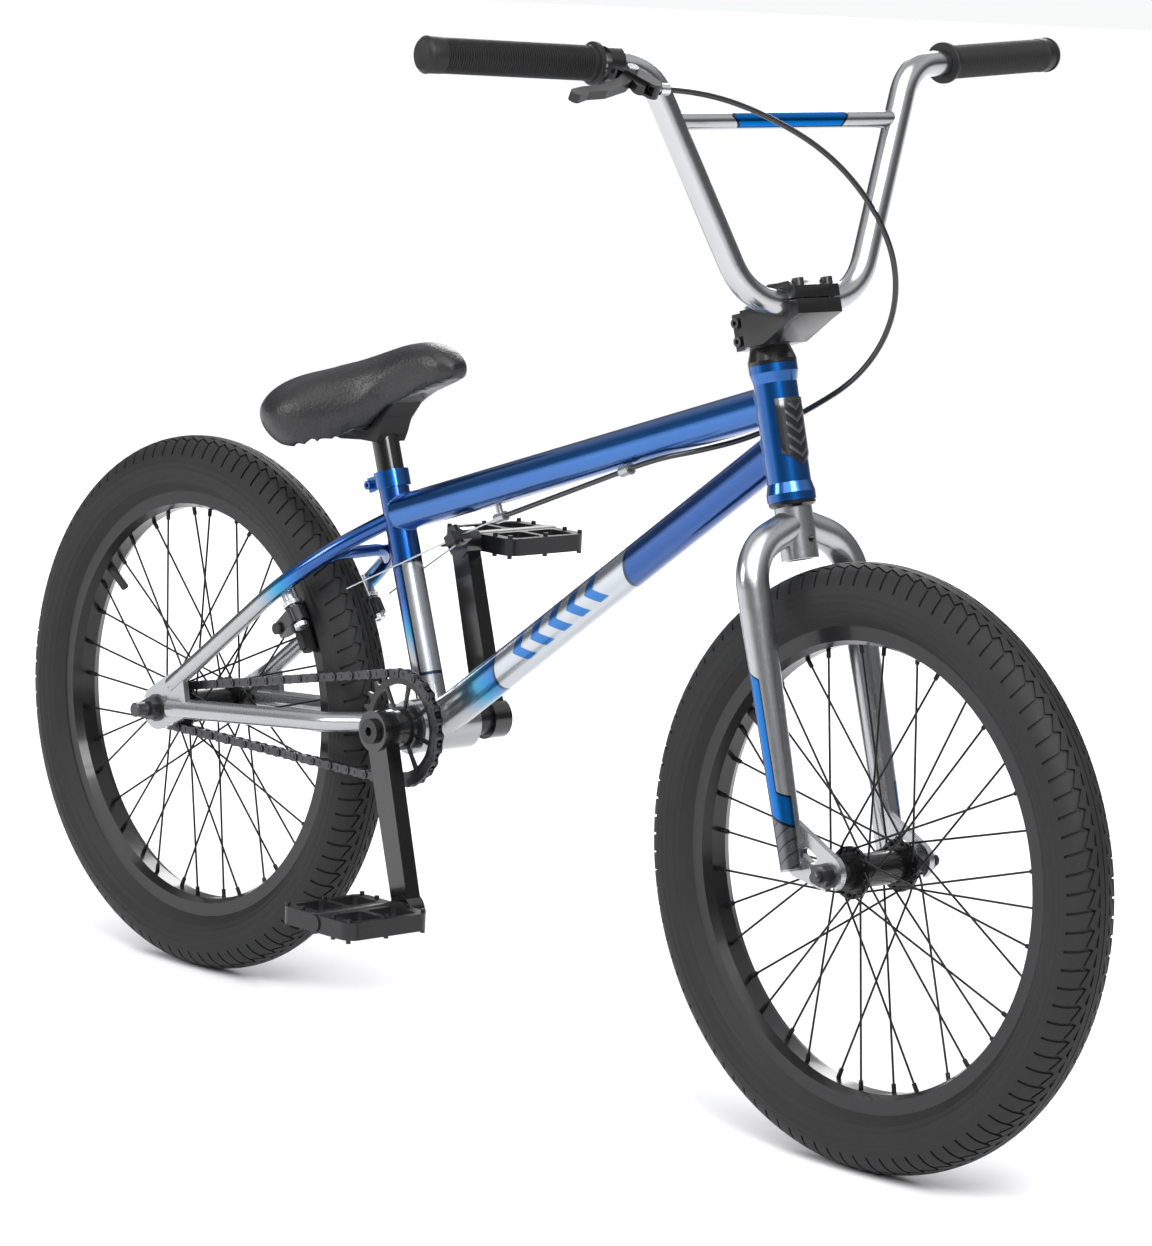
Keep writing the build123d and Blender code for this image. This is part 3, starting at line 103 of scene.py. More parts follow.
class Finish:
    def __init__(self, name, **shader):
        self.material = bpy.data.materials.new(name)
        self.material.use_nodes = True
        self.tree = self.material.node_tree
        self.shader = self.tree.nodes["Principled BSDF"]
        self.spot = self.node("ShaderNodeTexCoord", {}, {}, "Object")
        for socket, value in shader.items():
            self.set(socket.replace("_", " "), value)

    def set(self, socket, value):
        place = self.shader.inputs[socket]
        if isinstance(value, Value):
            self.tree.links.new(value.socket, place)
        elif isinstance(value, tuple) and len(value) == 3:
            place.default_value = (*value, 1)
        else:
            place.default_value = value
        return self

    def node(self, kind, settings, inputs, output=0):
        node = self.tree.nodes.new(kind)
        for setting, value in settings.items():
            if setting == "stops":
                ramp = node.color_ramp.elements
                for stop, (at, colour) in zip((ramp[0], ramp[1]), value[:2]):
                    stop.position, stop.color = at, colour
                for at, colour in value[2:]:
                    ramp.new(at).color = colour
            else:
                setattr(node, setting, value)
        for socket, value in inputs.items():
            place = node.inputs[socket]
            if isinstance(value, Value):
                self.tree.links.new(value.socket, place)
            else:
                place.default_value = value
        return Value(self.tree, node.outputs[output])

    def noise(self, scale, detail=3.0, rough=0.5, at=None):
        inputs = {"Vector": at or self.spot, "Scale": scale, "Detail": detail, "Roughness": rough}
        return self.node("ShaderNodeTexNoise", {}, inputs)

    def cells(self, scale):
        return self.node("ShaderNodeTexVoronoi", {}, {"Vector": self.spot, "Scale": scale})

    def along(self, direction, origin=(0, 0, 0)):
        way = Vector(direction).normalized()
        dot = self.node("ShaderNodeVectorMath", {"operation": "DOT_PRODUCT"}, {0: self.spot, 1: tuple(way)},
            "Value")
        return dot - way.dot(Vector(origin))

    def stretched(self, scale, turn=(0, 0, 0)):
        return self.node("ShaderNodeMapping", {}, {"Vector": self.spot, "Scale": scale, "Rotation": turn})

    def mixed(self, factor, first, second):
        first, second = (shade if isinstance(shade, Value) else (*shade, 1) for shade in (first, second))
        return self.node("ShaderNodeMix", {"data_type": "RGBA"}, {0: factor, 6: first, 7: second}, 2)

    def bumped(self, height, distance, strength=1.0):
        normal = self.node("ShaderNodeBump", {}, {"Height": height, "Distance": distance, "Strength": strength})
        return self.set("Normal", normal)


# Places on the frame that paint and welds share, in metres.
tubes = {
    "axisFoot": Vector((0.4193, 0, 0.2493)), "axisUp": Vector((-0.26892, 0, 0.96316)),
    "axisForward": Vector((0.96316, 0, 0.26892)),
    "bracket": Vector((-0.11423, 0, 0.292)), "seatUp": Vector((-0.32557, 0, 0.94552)),
    "topBack": Vector((-0.17847, 0, 0.47855)), "topFront": Vector((0.31103, 0, 0.63707)),
    "downFront": Vector((0.3211, 0, 0.6009)), "rearAxle": Vector((-0.454, 0, 0.259)),
    "frontAxle": Vector((0.454, 0, 0.259)),
}

# Paint.
paint = {
    "blue": (0.0, 0.060, 0.26), "blueLight": (0.0, 0.13, 0.44), "teal": (0.01, 0.26, 0.46),
    "silver": (0.36, 0.37, 0.385),
    "silverDark": (0.31, 0.32, 0.335), "panel": (0.46, 0.49, 0.52), "line": (0.012, 0.03, 0.07),
    "flake": 2600.0,
}


def flaked(finish, colour, flake=0.10):
    # fine metal flake under the lacquer: small changes of light and of roughness
    sparkle = finish.cells(paint["flake"])
    cloud = finish.noise(9.0, 2.0)
    light = 1 - flake + flake * 2 * sparkle + 0.10 * (cloud - 0.5)
    shine = finish.node("ShaderNodeHueSaturation", {}, {"Color": colour, "Value": light})
    finish.set("Base Color", shine)
    finish.set("Roughness", 0.19 + 0.10 * cloud)
    peel = finish.noise(420.0, 2.0)
    finish.bumped(peel, 0.00004, 0.35)
    return finish


def lacquer(name, metallic=0.92):
    return Finish(name, Metallic=metallic, Coat_Weight=1.0, Coat_Roughness=0.05)


def bluePaint():
    finish = lacquer("candyBluePaint")
    cloud = finish.noise(5.0, 1.0)
    return flaked(finish, finish.mixed(cloud, paint["blue"], paint["blueLight"]))


def silverPaint():
    finish = lacquer("silverFlakePaint", 0.8)
    return flaked(finish, finish.mixed(finish.noise(6.0, 1.0), paint["silver"], paint["silverDark"]), 0.06)


def fadePaint(name, distance, start, end):
    # blue past the end of the fade, silver before its start, teal between
    finish = lacquer(name)
    way = distance(finish)
    fade = ((way - start) * (1 / (end - start))).clamped()
    stops = [(0.0, "silver"), (1.0, "blue"), (0.45, "teal"), (0.75, "blueLight")]
    stops = [(at, (*paint[shade], 1)) for at, shade in stops]
    colour = finish.node("ShaderNodeValToRGB", {"stops": stops}, {0: fade})
    return finish, colour, way


seatPanel = {
    "fade": (0.062, 0.118), "from": 0.048, "to": 0.150, "front": 0.0065, "outline": 0.003, "lip": 0.002,
    "soft": 0.001, "softFront": 0.0006,
}


def seatTubePaint():
    s = seatPanel
    finish, colour, way = fadePaint("seatTubeFade", lambda f: f.along(tubes["seatUp"], tubes["bracket"]),
        *s["fade"])
    front = finish.along((0.94552, 0, 0.32557), tubes["bracket"])
    low, high = s["from"], s["to"]
    panel = way.above(low, s["soft"]) * way.below(high, s["soft"]) * front.above(s["front"], s["softFront"])
    low, high = low - s["outline"], high + s["outline"]
    rim = way.above(low, s["soft"]) * way.below(high, s["soft"]) * front.above(s["front"] - s["lip"],
        s["softFront"])
    colour = finish.mixed(rim, colour, paint["line"])
    return flaked(finish, finish.mixed(panel, colour, paint["panel"]))


stayFade = {"way": (0.8007, 0, 0.5990), "from": 0.195, "to": 0.262}


def stayPaint():
    s = stayFade
    finish, colour, _ = fadePaint("seatStayFade", lambda f: f.along(s["way"], tubes["rearAxle"]), s["from"],
        s["to"])
    return flaked(finish, colour)


# Down tube: blue above, a pale panel with slanting ends and chevrons in place of lettering, then the fade to silver.
downPanel = {
    "fade": (0.052, 0.128), "from": 0.118, "to": 0.318, "slant": 0.55, "outline": 0.0035,
    "chevrons": (0.146, 0.286),
    "pitch": 0.028, "width": 0.013, "lean": 0.9, "half": 0.0125, "chevronBlue": (0.0, 0.13, 0.42),
    "under": -0.0138,
}


def downTubePaint():
    axis = tubes["downFront"] - tubes["bracket"]
    finish, colour, way = fadePaint("downTubeFade", lambda f: f.along(axis, tubes["bracket"]),
        *downPanel["fade"])
    up = finish.along(axis.normalized().cross(Vector((0, -1, 0))), tubes["bracket"])
    slanted = way + up * downPanel["slant"]
    edge = downPanel["outline"]
    outline = slanted.above(downPanel["from"] - edge) * slanted.below(downPanel["to"] + edge)
    panel = slanted.above(downPanel["from"]) * slanted.below(downPanel["to"])
    arrow = way - abs(up) * downPanel["lean"]
    first, last = downPanel["chevrons"]
    stripe = abs(arrow.wrapped(downPanel["pitch"]) - downPanel["pitch"] / 2).below(downPanel["width"] / 2)
    chevrons = stripe * arrow.above(first) * arrow.below(last) * abs(up).below(downPanel["half"])
    under = up.below(downPanel["under"], 0.0008)
    colour = finish.mixed(outline, colour, paint["line"])
    colour = finish.mixed(panel, colour, paint["panel"])
    colour = finish.mixed(chevrons, colour, downPanel["chevronBlue"])
    colour = finish.mixed(under * outline, colour, paint["blueLight"])
    return flaked(finish, colour, 0.05)


# Fork and bars: satin silver, with plain blue bands in place of the decals.
forkBand = {
    "legs": 0.060, "outside": 0.0015, "soft": 0.0006, "lean": 0.7, "stripeFrom": 0.076, "stripeTo": 0.172,
    "front": 0.0036,
    "lip": 0.001, "softFront": 0.0005, "edge": 0.002, "bandFrom": 0.054, "bandTo": 0.077, "bandEdge": 0.003,
    "greyFrom": 0.010, "hatchPitch": 0.011, "hatchLean": 1.4, "hatchHalf": 0.0007,
    "silver": ((0.36, 0.365, 0.38), (0.45, 0.455, 0.47)), "grey": (0.13, 0.135, 0.15),
    "hatch": (0.03, 0.04, 0.05),
    "outline": (0.01, 0.02, 0.05),
}


def forkPaint():
    finish = Finish("satinForkSilver", Metallic=0.95, Coat_Weight=0.35, Coat_Roughness=0.12)
    up = finish.along(tubes["axisUp"], tubes["axisFoot"])
    b = forkBand
    outward = abs(finish.along((0, 1, 0))) - b["legs"]
    forward = finish.along(tubes["axisForward"], tubes["axisFoot"])
    outside = outward.above(b["outside"], b["soft"])
    slant = up + forward * b["lean"]

    def between(low, high):
        return slant.above(low) * slant.below(high)

    stripe = between(b["stripeFrom"], b["stripeTo"]) * forward.below(b["front"], b["softFront"]) * outside
    stripeEdge = between(b["stripeFrom"] - b["edge"], b["stripeTo"] + b["edge"])
    stripeEdge = stripeEdge * forward.below(b["front"] + b["lip"], b["softFront"]) * outside
    band = between(b["bandFrom"], b["bandTo"]) * outside
    bandEdge = between(b["bandFrom"] - b["bandEdge"], b["bandTo"] + b["edge"]) * outside
    grey = up.above(b["greyFrom"]) * slant.below(b["bandFrom"] - b["bandEdge"]) * outside
    lines = abs(slant - forward * b["hatchLean"]).wrapped(b["hatchPitch"])
    hatch = abs(lines - b["hatchPitch"] / 2).below(b["hatchHalf"]) * grey
    brushed = finish.noise(1.0, 2.0, 0.6, finish.stretched((900, 900, 60)))
    colour = finish.mixed(brushed, *b["silver"])
    colour = finish.mixed(grey, colour, b["grey"])
    colour = finish.mixed(hatch, colour, b["hatch"])
    colour = finish.mixed(sumOf(stripeEdge, bandEdge), colour, b["outline"])
    colour = finish.mixed(sumOf(stripe, band), colour, paint["blueLight"])
    finish.set("Base Color", colour)
    finish.set("Roughness", 0.20 + 0.10 * brushed)
    return finish.bumped(brushed, 0.00003, 0.3)


def sumOf(first, second):
    return (first + second).clamped()


barBand = {
    "half": 0.066, "point": 0.9, "edge": 0.003, "reach": 0.012, "turn": 0.4, "front": 0.0018,
    "rimFront": 0.0008,
    "chrome": ((0.42, 0.425, 0.44), (0.50, 0.505, 0.52)), "outline": (0.02, 0.03, 0.05), "up": 0.635,
    "forward": 0.0573,
}


def barChrome():
    # a plain band with pointed ends lies on the top front of the crossbar
    finish = Finish("satinBarChrome", Metallic=1.0)
    across = abs(finish.along((0, 1, 0)))
    b = barBand
    bar = tubes["axisFoot"] + tubes["axisUp"] * b["up"] + tubes["axisForward"] * b["forward"]
    facing = finish.along(tubes["axisForward"] + tubes["axisUp"] * b["turn"], bar)
    height = abs(finish.along(tubes["axisUp"] - tubes["axisForward"] * b["turn"], bar))
    up = finish.along(tubes["axisUp"], bar)
    onBar = up.above(-b["reach"], 0.001) * up.below(b["reach"], 0.001)
    pointed = across + height * b["point"]
    band = pointed.below(b["half"]) * facing.above(b["front"]) * onBar
    rim = pointed.below(b["half"] + b["edge"]) * facing.above(b["rimFront"]) * onBar
    smear = finish.noise(14.0, 3.0)
    brushed = finish.noise(260.0, 2.0)
    colour = finish.mixed(smear, *b["chrome"])
    colour = finish.mixed(rim, colour, b["outline"])
    finish.set("Base Color", finish.mixed(band, colour, paint["blueLight"]))
    finish.set("Roughness", 0.15 + 0.08 * smear + 0.04 * brushed)
    return finish.bumped(brushed, 0.00002, 0.25)


# Black finishes: each has its own grain, sheen and wear.
def blackFinish(name, dark, light, rough, grain, depth, metallic=0.0, coat=0.0, stretch=None):
    finish = Finish(name, Metallic=metallic, Coat_Weight=coat, Coat_Roughness=0.12, Specular_IOR_Level=0.3)
    spot = finish.stretched(stretch) if stretch else None
    fine = finish.noise(grain, 3.0, 0.55, spot)
    cloud = finish.noise(17.0, 3.0)
    finish.set("Base Color", finish.mixed(cloud * 0.6 + fine * 0.4, dark, light))
    finish.set("Roughness", rough - 0.06 + 0.12 * cloud + 0.05 * fine)
    return finish.bumped(fine, depth, 0.6)


def saddleCover():
    finish = Finish("dottedSaddleCover", Coat_Weight=0.1, Coat_Roughness=0.3, Specular_IOR_Level=0.4)
    dots = finish.cells(330.0)
    dimplesAndShade = (dots * 1.6).clamped()
    crease = finish.noise(900.0, 3.0)
    cloud = finish.noise(12.0, 2.0)
    # each dimple hollow is painted darker than the cover around it: painted shade, following the dimple depth
    finish.set("Base Color", finish.mixed(dimplesAndShade, (0.005, 0.005, 0.0055), (0.012, 0.012, 0.013)))
    finish.set("Roughness", 0.40 + 0.12 * cloud - 0.10 * dimplesAndShade)
    return finish.bumped(dimplesAndShade + 0.25 * crease, 0.00035, 0.7)


def tyreRubber():
    finish = Finish("blackTyreRubber", Specular_IOR_Level=0.3)
    fine = finish.noise(1500.0, 3.0, 0.6)
    dust = finish.noise(24.0, 4.0, 0.6)
    finish.set("Base Color", finish.mixed(dust, (0.007, 0.007, 0.0073), (0.016, 0.016, 0.0165)))
    finish.set("Roughness", 0.50 + 0.14 * dust + 0.08 * fine)
    return finish.bumped(fine, 0.00012, 0.5)


def plainMetal(name, dark, light, rough, grain, metallic=1.0, depth=0.00003):
    finish = Finish(name, Metallic=metallic)
    fine = finish.noise(grain, 3.0)
    cloud = finish.noise(30.0, 3.0)
    finish.set("Base Color", finish.mixed(cloud * 0.7 + fine * 0.3, dark, light))
    finish.set("Roughness", rough + 0.12 * cloud)
    return finish.bumped(fine, depth, 0.4)


def weldPaint(name, dark, light):
    finish = lacquer(name, 0.8)
    scales = finish.noise(1100.0, 2.0)
    finish.set("Base Color", finish.mixed(scales, dark, light))
    finish.set("Roughness", 0.28 + 0.1 * scales)
    return finish.bumped(scales, 0.0001, 0.4)


finishes = {
    "blue": bluePaint(), "silver": silverPaint(), "seatTube": seatTubePaint(), "stays": stayPaint(),
    "downTube": downTubePaint(),
    "fork": forkPaint(), "bars": barChrome(), "tyre": tyreRubber(), "saddle": saddleCover(),
    "tube": blackFinish("butylTube", (0.012, 0.012, 0.012), (0.02, 0.02, 0.02), 0.6, 700.0, 0.0001),
    "rim": blackFinish("anodisedRim", (0.005, 0.005, 0.0055), (0.011, 0.011, 0.012), 0.30, 800.0, 0.00002, 0.35,
        0.4),
    "hub": blackFinish("anodisedHub", (0.005, 0.005, 0.0055), (0.014, 0.014, 0.015), 0.26, 800.0, 0.00002, 0.5,
        0.4),
    "spoke": blackFinish("blackSpokeWire", (0.006, 0.006, 0.0065), (0.014, 0.014, 0.014), 0.34, 1200.0, 0.00002,
        0.5),
    "gloss": blackFinish("glossBlackEnamel", (0.004, 0.004, 0.0045), (0.009, 0.009, 0.0095), 0.22, 500.0,
        0.00003, 0.2, 0.9),
    "casting": blackFinish("castBlackEnamel", (0.005, 0.005, 0.0055), (0.012, 0.012, 0.0125), 0.36, 900.0,
        0.00008, 0.25, 0.4),
    "pedal": blackFinish("pedalBlack", (0.005, 0.005, 0.0055), (0.012, 0.012, 0.013), 0.42, 1100.0, 0.0001, 0.1,
        0.25),
    "plastic": blackFinish("saddlePlastic", (0.006, 0.006, 0.006), (0.011, 0.011, 0.011), 0.45, 1400.0,
        0.00012),
    "grip": blackFinish("gripRubber", (0.006, 0.006, 0.006), (0.013, 0.013, 0.013), 0.48, 1300.0, 0.0001),
    "pad": blackFinish("padRubber", (0.016, 0.016, 0.016), (0.03, 0.03, 0.03), 0.6, 1200.0, 0.00015),
    "housing": blackFinish("cableHousing", (0.008, 0.008, 0.008), (0.016, 0.016, 0.016), 0.22, 1500.0, 0.00002,
        0.0, 0.5),
    "chain": plainMetal("gunmetalChain", (0.035, 0.035, 0.037), (0.11, 0.11, 0.115), 0.28, 900.0, 0.9),
    "wire": plainMetal("brightWire", (0.50, 0.51, 0.52), (0.72, 0.73, 0.74), 0.22, 2600.0),
    "bare": plainMetal("bareSteel", (0.32, 0.32, 0.33), (0.52, 0.52, 0.53), 0.25, 800.0),
    "darkSteel": plainMetal("darkSteel", (0.035, 0.035, 0.037), (0.12, 0.12, 0.125), 0.24, 900.0, 0.85),
    "zinc": plainMetal("brightZinc", (0.55, 0.56, 0.57), (0.75, 0.76, 0.77), 0.20, 900.0),
}

nodeFinish = {
    "head_tube": "blue", "top_tube": "blue", "seat_clamp": "blue", "down_tube": "downTube",
    "seat_tube": "seatTube", "seat_stays": "stays",
    "bottom_bracket_shell": "silver", "chain_stays": "silver", "frame_fittings": "silver", "fork_legs": "fork",
    "fork_steerer": "fork",
    "handlebar": "bars", "chain": "chain", "straddle_wire": "wire", "headset_bearings": "bare",
    "crank_bearings": "bare", "driver": "bare",
    "pedal_left": "pedal", "pedal_right": "pedal", "saddle_base": "plastic", "brake_pad_left": "pad",
    "brake_pad_right": "pad",
    "front_axle": "darkSteel", "rear_axle": "darkSteel", "front_axle_nuts": "darkSteel",
    "rear_axle_nuts": "darkSteel",
    "stem_bolts": "darkSteel", "brake_pivots": "zinc", "lever_hardware": "zinc", "pedal_axles": "darkSteel",
    "seat_post": "gloss",
    "stem_body": "gloss", "stem_cap": "gloss", "headset": "gloss", "crank_arm_left": "gloss",
    "crank_arm_right": "gloss",
    "sprocket": "casting", "brake_cable_housing": "housing", "saddle_pad": "saddle", "grip_left": "grip",
    "grip_right": "grip",
}
wheelFinish = {"tyre": "tyre", "inner_tube": "tube", "rim": "rim", "spokes": "spoke", "nipples": "spoke",
    "hub": "hub"}


def dress(piece, finish):
    piece.data.materials.clear()
    piece.data.materials.append(finishes[finish].material)


for name, node in nodes.items():
    part = name.replace("front_", "").replace("rear_", "")
    dress(node, nodeFinish.get(name, wheelFinish.get(part, "casting")))
print("finishes made")


# Modelling helpers.
mergeGap = 0.00002


def nothing():
    if bpy.context.object and bpy.context.object.mode != "OBJECT":
        ops.object.mode_set(mode="OBJECT")
    ops.object.select_all(action="DESELECT")


def pick(piece):
    nothing()
    piece.select_set(True)
    bpy.context.view_layer.objects.active = piece
    return piece


def started(name):
    piece = bpy.context.object
    piece.name = piece.data.name = name
    return pick(piece)


def select(piece, kind, chosen):
    # chosen is asked of each vertex or face in object mode, then edit mode opens on what it picked
    ops.object.mode_set(mode="EDIT")
    ops.mesh.select_mode(type=kind)
    ops.mesh.select_all(action="DESELECT")
    ops.object.mode_set(mode="OBJECT")
    for part in piece.data.vertices if kind == "VERT" else piece.data.polygons:
        part.select = bool(chosen(part))
    ops.object.mode_set(mode="EDIT")


def finished(piece, body, finish, smooth=35):
    pick(piece)
    ops.object.transform_apply(location=True, rotation=True, scale=True)
    ops.object.mode_set(mode="EDIT")
    ops.mesh.select_all(action="SELECT")
    ops.mesh.remove_doubles(threshold=mergeGap)
    ops.mesh.normals_make_consistent(inside=False)
    ops.object.mode_set(mode="OBJECT")
    ops.object.shade_smooth_by_angle(angle=math.radians(smooth))
    dress(piece, finish)
    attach(piece, body)
    return piece


def modified(piece, kind, **settings):
    pick(piece)
    modifier = piece.modifiers.new(kind.title().replace("_", ""), kind)
    for setting, value in settings.items():
        setattr(modifier, setting, value)
    ops.object.modifier_apply(modifier=modifier.name)


def copied(piece, name):
    twin = piece.copy()
    twin.data = piece.data.copy()
    twin.name = twin.data.name = name
    scene.collection.objects.link(twin)
    return twin


def copiedNode(node, name):
    # a loose copy of a frame part, with its doubles merged
    part = copied(nodes[node], name)
    part.parent = None
    for key in [k for k in part.keys() if k.startswith("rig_")]:
        del part[key]
    pick(part)
    ops.object.mode_set(mode="EDIT")
    ops.mesh.select_all(action="SELECT")
    ops.mesh.remove_doubles(threshold=mergeGap)
    ops.object.mode_set(mode="OBJECT")
    return part


def joined(pieces, name):
    nothing()
    for piece in pieces:
        piece.select_set(True)
    bpy.context.view_layer.objects.active = pieces[0]
    ops.object.join()
    return started(name)


# Brake cable housing: a free cord from the lever's barrel to the stop under the top tube.
housingCord = {"length": 0.839, "diameter": 0.005, "points": [
    (0.3270, -0.1672, 0.9047), (0.3334, -0.1277, 0.9034), (0.357, -0.076, 0.886), (0.387, -0.030, 0.856),
    (0.412, 0.002, 0.812),
    (0.423, 0.022, 0.762), (0.406, 0.036, 0.710), (0.366, 0.041, 0.663), (0.312, 0.035, 0.629),
    (0.262, 0.020, 0.601),
    (0.222, -0.002, 0.586), (0.178, -0.013, 0.574), (0.1096, -0.0089, 0.5485), (-0.038, 0, 0.4935)]}


def addHousing(h):
    def curveOf(name, radius):
        data = bpy.data.curves.new(name, "CURVE")
        data.dimensions, data.resolution_u, data.bevel_depth, data.bevel_resolution = "3D", 10, radius, 4
        data.use_fill_caps = radius > 0
        spline = data.splines.new("NURBS")
        spline.points.add(len(h["points"]) - 1)
        for point, at in zip(spline.points, h["points"]):
            point.co = (*at, 1)
        spline.order_u, spline.use_endpoint_u = 3, True
        curve = bpy.data.objects.new(name, data)
        scene.collection.objects.link(curve)
        return curve
    guide = curveOf("housingGuide", 0.0)
    bpy.context.view_layer.update()
    line = bpy.data.meshes.new_from_object(guide.evaluated_get(bpy.context.evaluated_depsgraph_get()))
    bpy.data.objects.remove(guide)
    bpy.data.meshes.remove(line)
    piece = pick(curveOf("rearBrakeHousing", h["diameter"] / 2))
    ops.object.convert(target="MESH")
    piece = bpy.context.object
    finished(piece, "frame", "housing", 60)
    piece.parent = None
    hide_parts("brake_cable_housing")
    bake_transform(piece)


addHousing(housingCord)
print("brake housing laid")


# Tyres: a moulded casing with ridged sidewalls, under a tread of shoulder blocks and a sawtooth groove each side.
tyreSet = {
    "centre": 0.2305, "half": 0.0285, "rimEdge": 0.2094, "bead": 0.2036, "beadHalf": 0.0134, "steps": 196,
    "treadSink": 0.935,
    "treadAngle": 74, "ridges": (84, 97, 110, 122), "ridge": 0.00045, "wall": 0.0022,
}
treadSet = {
    "blocks": 98, "groove": 0.0020, "rows": (0.5, 5.2, 6.4, 12.4, 14.8, 17.4, 20.5, 24.0, 27.5, 31.0, 34.0,
        36.4), "saw": 6.0,
    "innerSaw": 0.6, "lead": 0.0085, "leadCurve": 1.5,
    "columns": (0.0, 0.15, 0.32, 0.49, 0.66, 0.83, 1.0), "skirt": 0.0022,
}


def addCasing(t, centre):
    ops.mesh.primitive_circle_add(vertices=120, radius=t["half"], location=centre + Vector((t["centre"], 0, 0)))
    casing = started("tyreCasing")
    ops.object.transform_apply(location=True)
    middle = centre.x + t["centre"]

    def angle(vertex):
        return math.degrees(math.atan2(abs(vertex.co.y), vertex.co.x - middle))

    select(casing, "VERT", lambda v: v.co.x - centre.x < t["rimEdge"])
    ops.mesh.delete(type="VERT")
    select(casing, "VERT", lambda v: angle(v) < t["treadAngle"] - 3)
    ops.transform.resize(value=(t["treadSink"],) * 3, center_override=(middle, 0, centre.z))
    for ridge in t["ridges"]:
        select(casing, "VERT", lambda v: abs(angle(v) - ridge) < 1.6)
        ops.transform.resize(value=(1 + t["ridge"] / t["half"],) * 3, center_override=(middle, 0, centre.z))
    for side in (-1, 1):
        ops.object.mode_set(mode="OBJECT")
        foot = min((v for v in casing.data.vertices if v.co.y * side > 0), key=lambda v: v.co.x)
        place = foot.index
        select(casing, "VERT", lambda v: v.index == place)
        step = Vector((centre.x + t["bead"], side * t["beadHalf"], centre.z)) - foot.co
        ops.mesh.extrude_region_move(TRANSFORM_OT_translate={"value": step})
    ops.mesh.select_all(action="SELECT")
    ops.mesh.spin(steps=t["steps"], angle=math.tau, center=centre, axis=(0, 1, 0))
    ops.mesh.select_all(action="SELECT")
    ops.mesh.remove_doubles(threshold=0.00005)
    ops.mesh.normals_make_consistent(inside=False)
    ops.object.mode_set(mode="OBJECT")
    modified(casing, "SOLIDIFY", thickness=t["wall"], offset=-1)
    return casing


def addTreadHalf(t, tread, centre, side):
    # one block long and half a tread wide, laid flat with X round the wheel and Y across it, in metres
    pitch = math.tau * (t["centre"] + t["half"]) / tread["blocks"]
    columns, rows = tread["columns"], tread["rows"]
    ops.mesh.primitive_grid_add(x_subdivisions=len(columns) - 1, y_subdivisions=len(rows) - 1, size=1)
    half = started("treadHalf")
    places = sorted({round(v.co.x, 4) for v in half.data.vertices}), sorted({round(v.co.y,
        4) for v in half.data.vertices})
    for v in half.data.vertices:
        column, row = places[0].index(round(v.co.x, 4)), places[1].index(round(v.co.y, 4))
        across = rows[row] / 1000
        share = columns[column]
        if 2 <= row <= 4:  # the inner rows run in a sawtooth, one tooth to a block
            saw = share / columns[1] if column < 2 else 1 - (share - columns[1]) / (1 - columns[1])
            across += (saw - 0.5) * tread["saw"] / 1000 * (tread["innerSaw"] if row < 3 else 1)
        # the grooves lean forward towards the middle
        lead = tread["lead"] * (1 - row / (len(rows) - 1)) ** tread["leadCurve"]
        v.co = (share * pitch + lead, across * side, 0)
    half.data.update()

    def groove(face):
        at = [half.data.vertices[i] for i in face.vertices]
        column = min(places[0].index(round(startX[v.index], 4)) for v in at)
        row = min(places[1].index(round(startY[v.index], 4)) for v in at)
        return (column == 0 and 4 <= row < len(rows) - 2) or row in (1, 3)

    startX = {v.index: places[0][v.index % len(columns)] for v in half.data.vertices}
    startY = {v.index: places[1][v.index // len(columns)] for v in half.data.vertices}
    select(half, "FACE", groove)
    ops.mesh.extrude_region_move(TRANSFORM_OT_translate={"value": (0, 0, -tread["groove"])})
    edge = rows[-1] / 1000
    select(half, "VERT", lambda v: abs(v.co.y) > edge - 0.0002 or abs(v.co.y) < 0.0007)
    ops.mesh.select_mode(type="EDGE")
    ops.mesh.extrude_region_move(TRANSFORM_OT_translate={"value": (0, 0, -tread["skirt"])})
    ops.object.mode_set(mode="OBJECT")
    modified(half, "ARRAY", count=tread["blocks"], use_relative_offset=False, use_constant_offset=True,
             constant_offset_displace=(pitch, 0, 0), use_merge_vertices=True, merge_threshold=0.00003)
    offset = 0.5 if side < 0 else 0.0
    for v in half.data.vertices:  # wrapped round the casing
        turn = v.co.x / (t["centre"] + t["half"]) + offset * math.tau / tread["blocks"]
        lean = v.co.y / t["half"]
        reach = t["half"] + v.co.z
        out = t["centre"] + reach * math.cos(lean)
        v.co = centre + Vector((out * math.cos(turn), reach * math.sin(lean), out * math.sin(turn)))
    return half


def addTyres():
    rear = tubes["rearAxle"]
    parts = [addCasing(tyreSet, rear)] + [addTreadHalf(tyreSet, treadSet, rear, side) for side in (-1, 1)]
    for part in parts:  # each shell is made to face outwards before they are put together
        pick(part)
        ops.object.mode_set(mode="EDIT")
        ops.mesh.select_all(action="SELECT")
        ops.mesh.remove_doubles(threshold=0.00003)
        ops.mesh.normals_make_consistent(inside=False)
        ops.object.mode_set(mode="OBJECT")
    rearTyre = joined(parts, "treadedRearTyre")
    frontTyre = copied(rearTyre, "treadedFrontTyre")
    frontTyre.location = tubes["frontAxle"] - rear
    for tyre, wheel in ((rearTyre, "rear"), (frontTyre, "front")):
        pick(tyre)
        ops.object.transform_apply(location=True)
        ops.object.shade_smooth_by_angle(angle=math.radians(30))
        dress(tyre, "tyre")
        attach(tyre, wheel + "_wheel")
        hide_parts(wheel + "_tyre")


addTyres()
print("tyres done")


# Saddle: the pad swells a little under its cover, then is smoothed.
saddleSet = {"voxel": 0.004, "pressure": 4.0, "frames": 16, "swell": 0.0022}


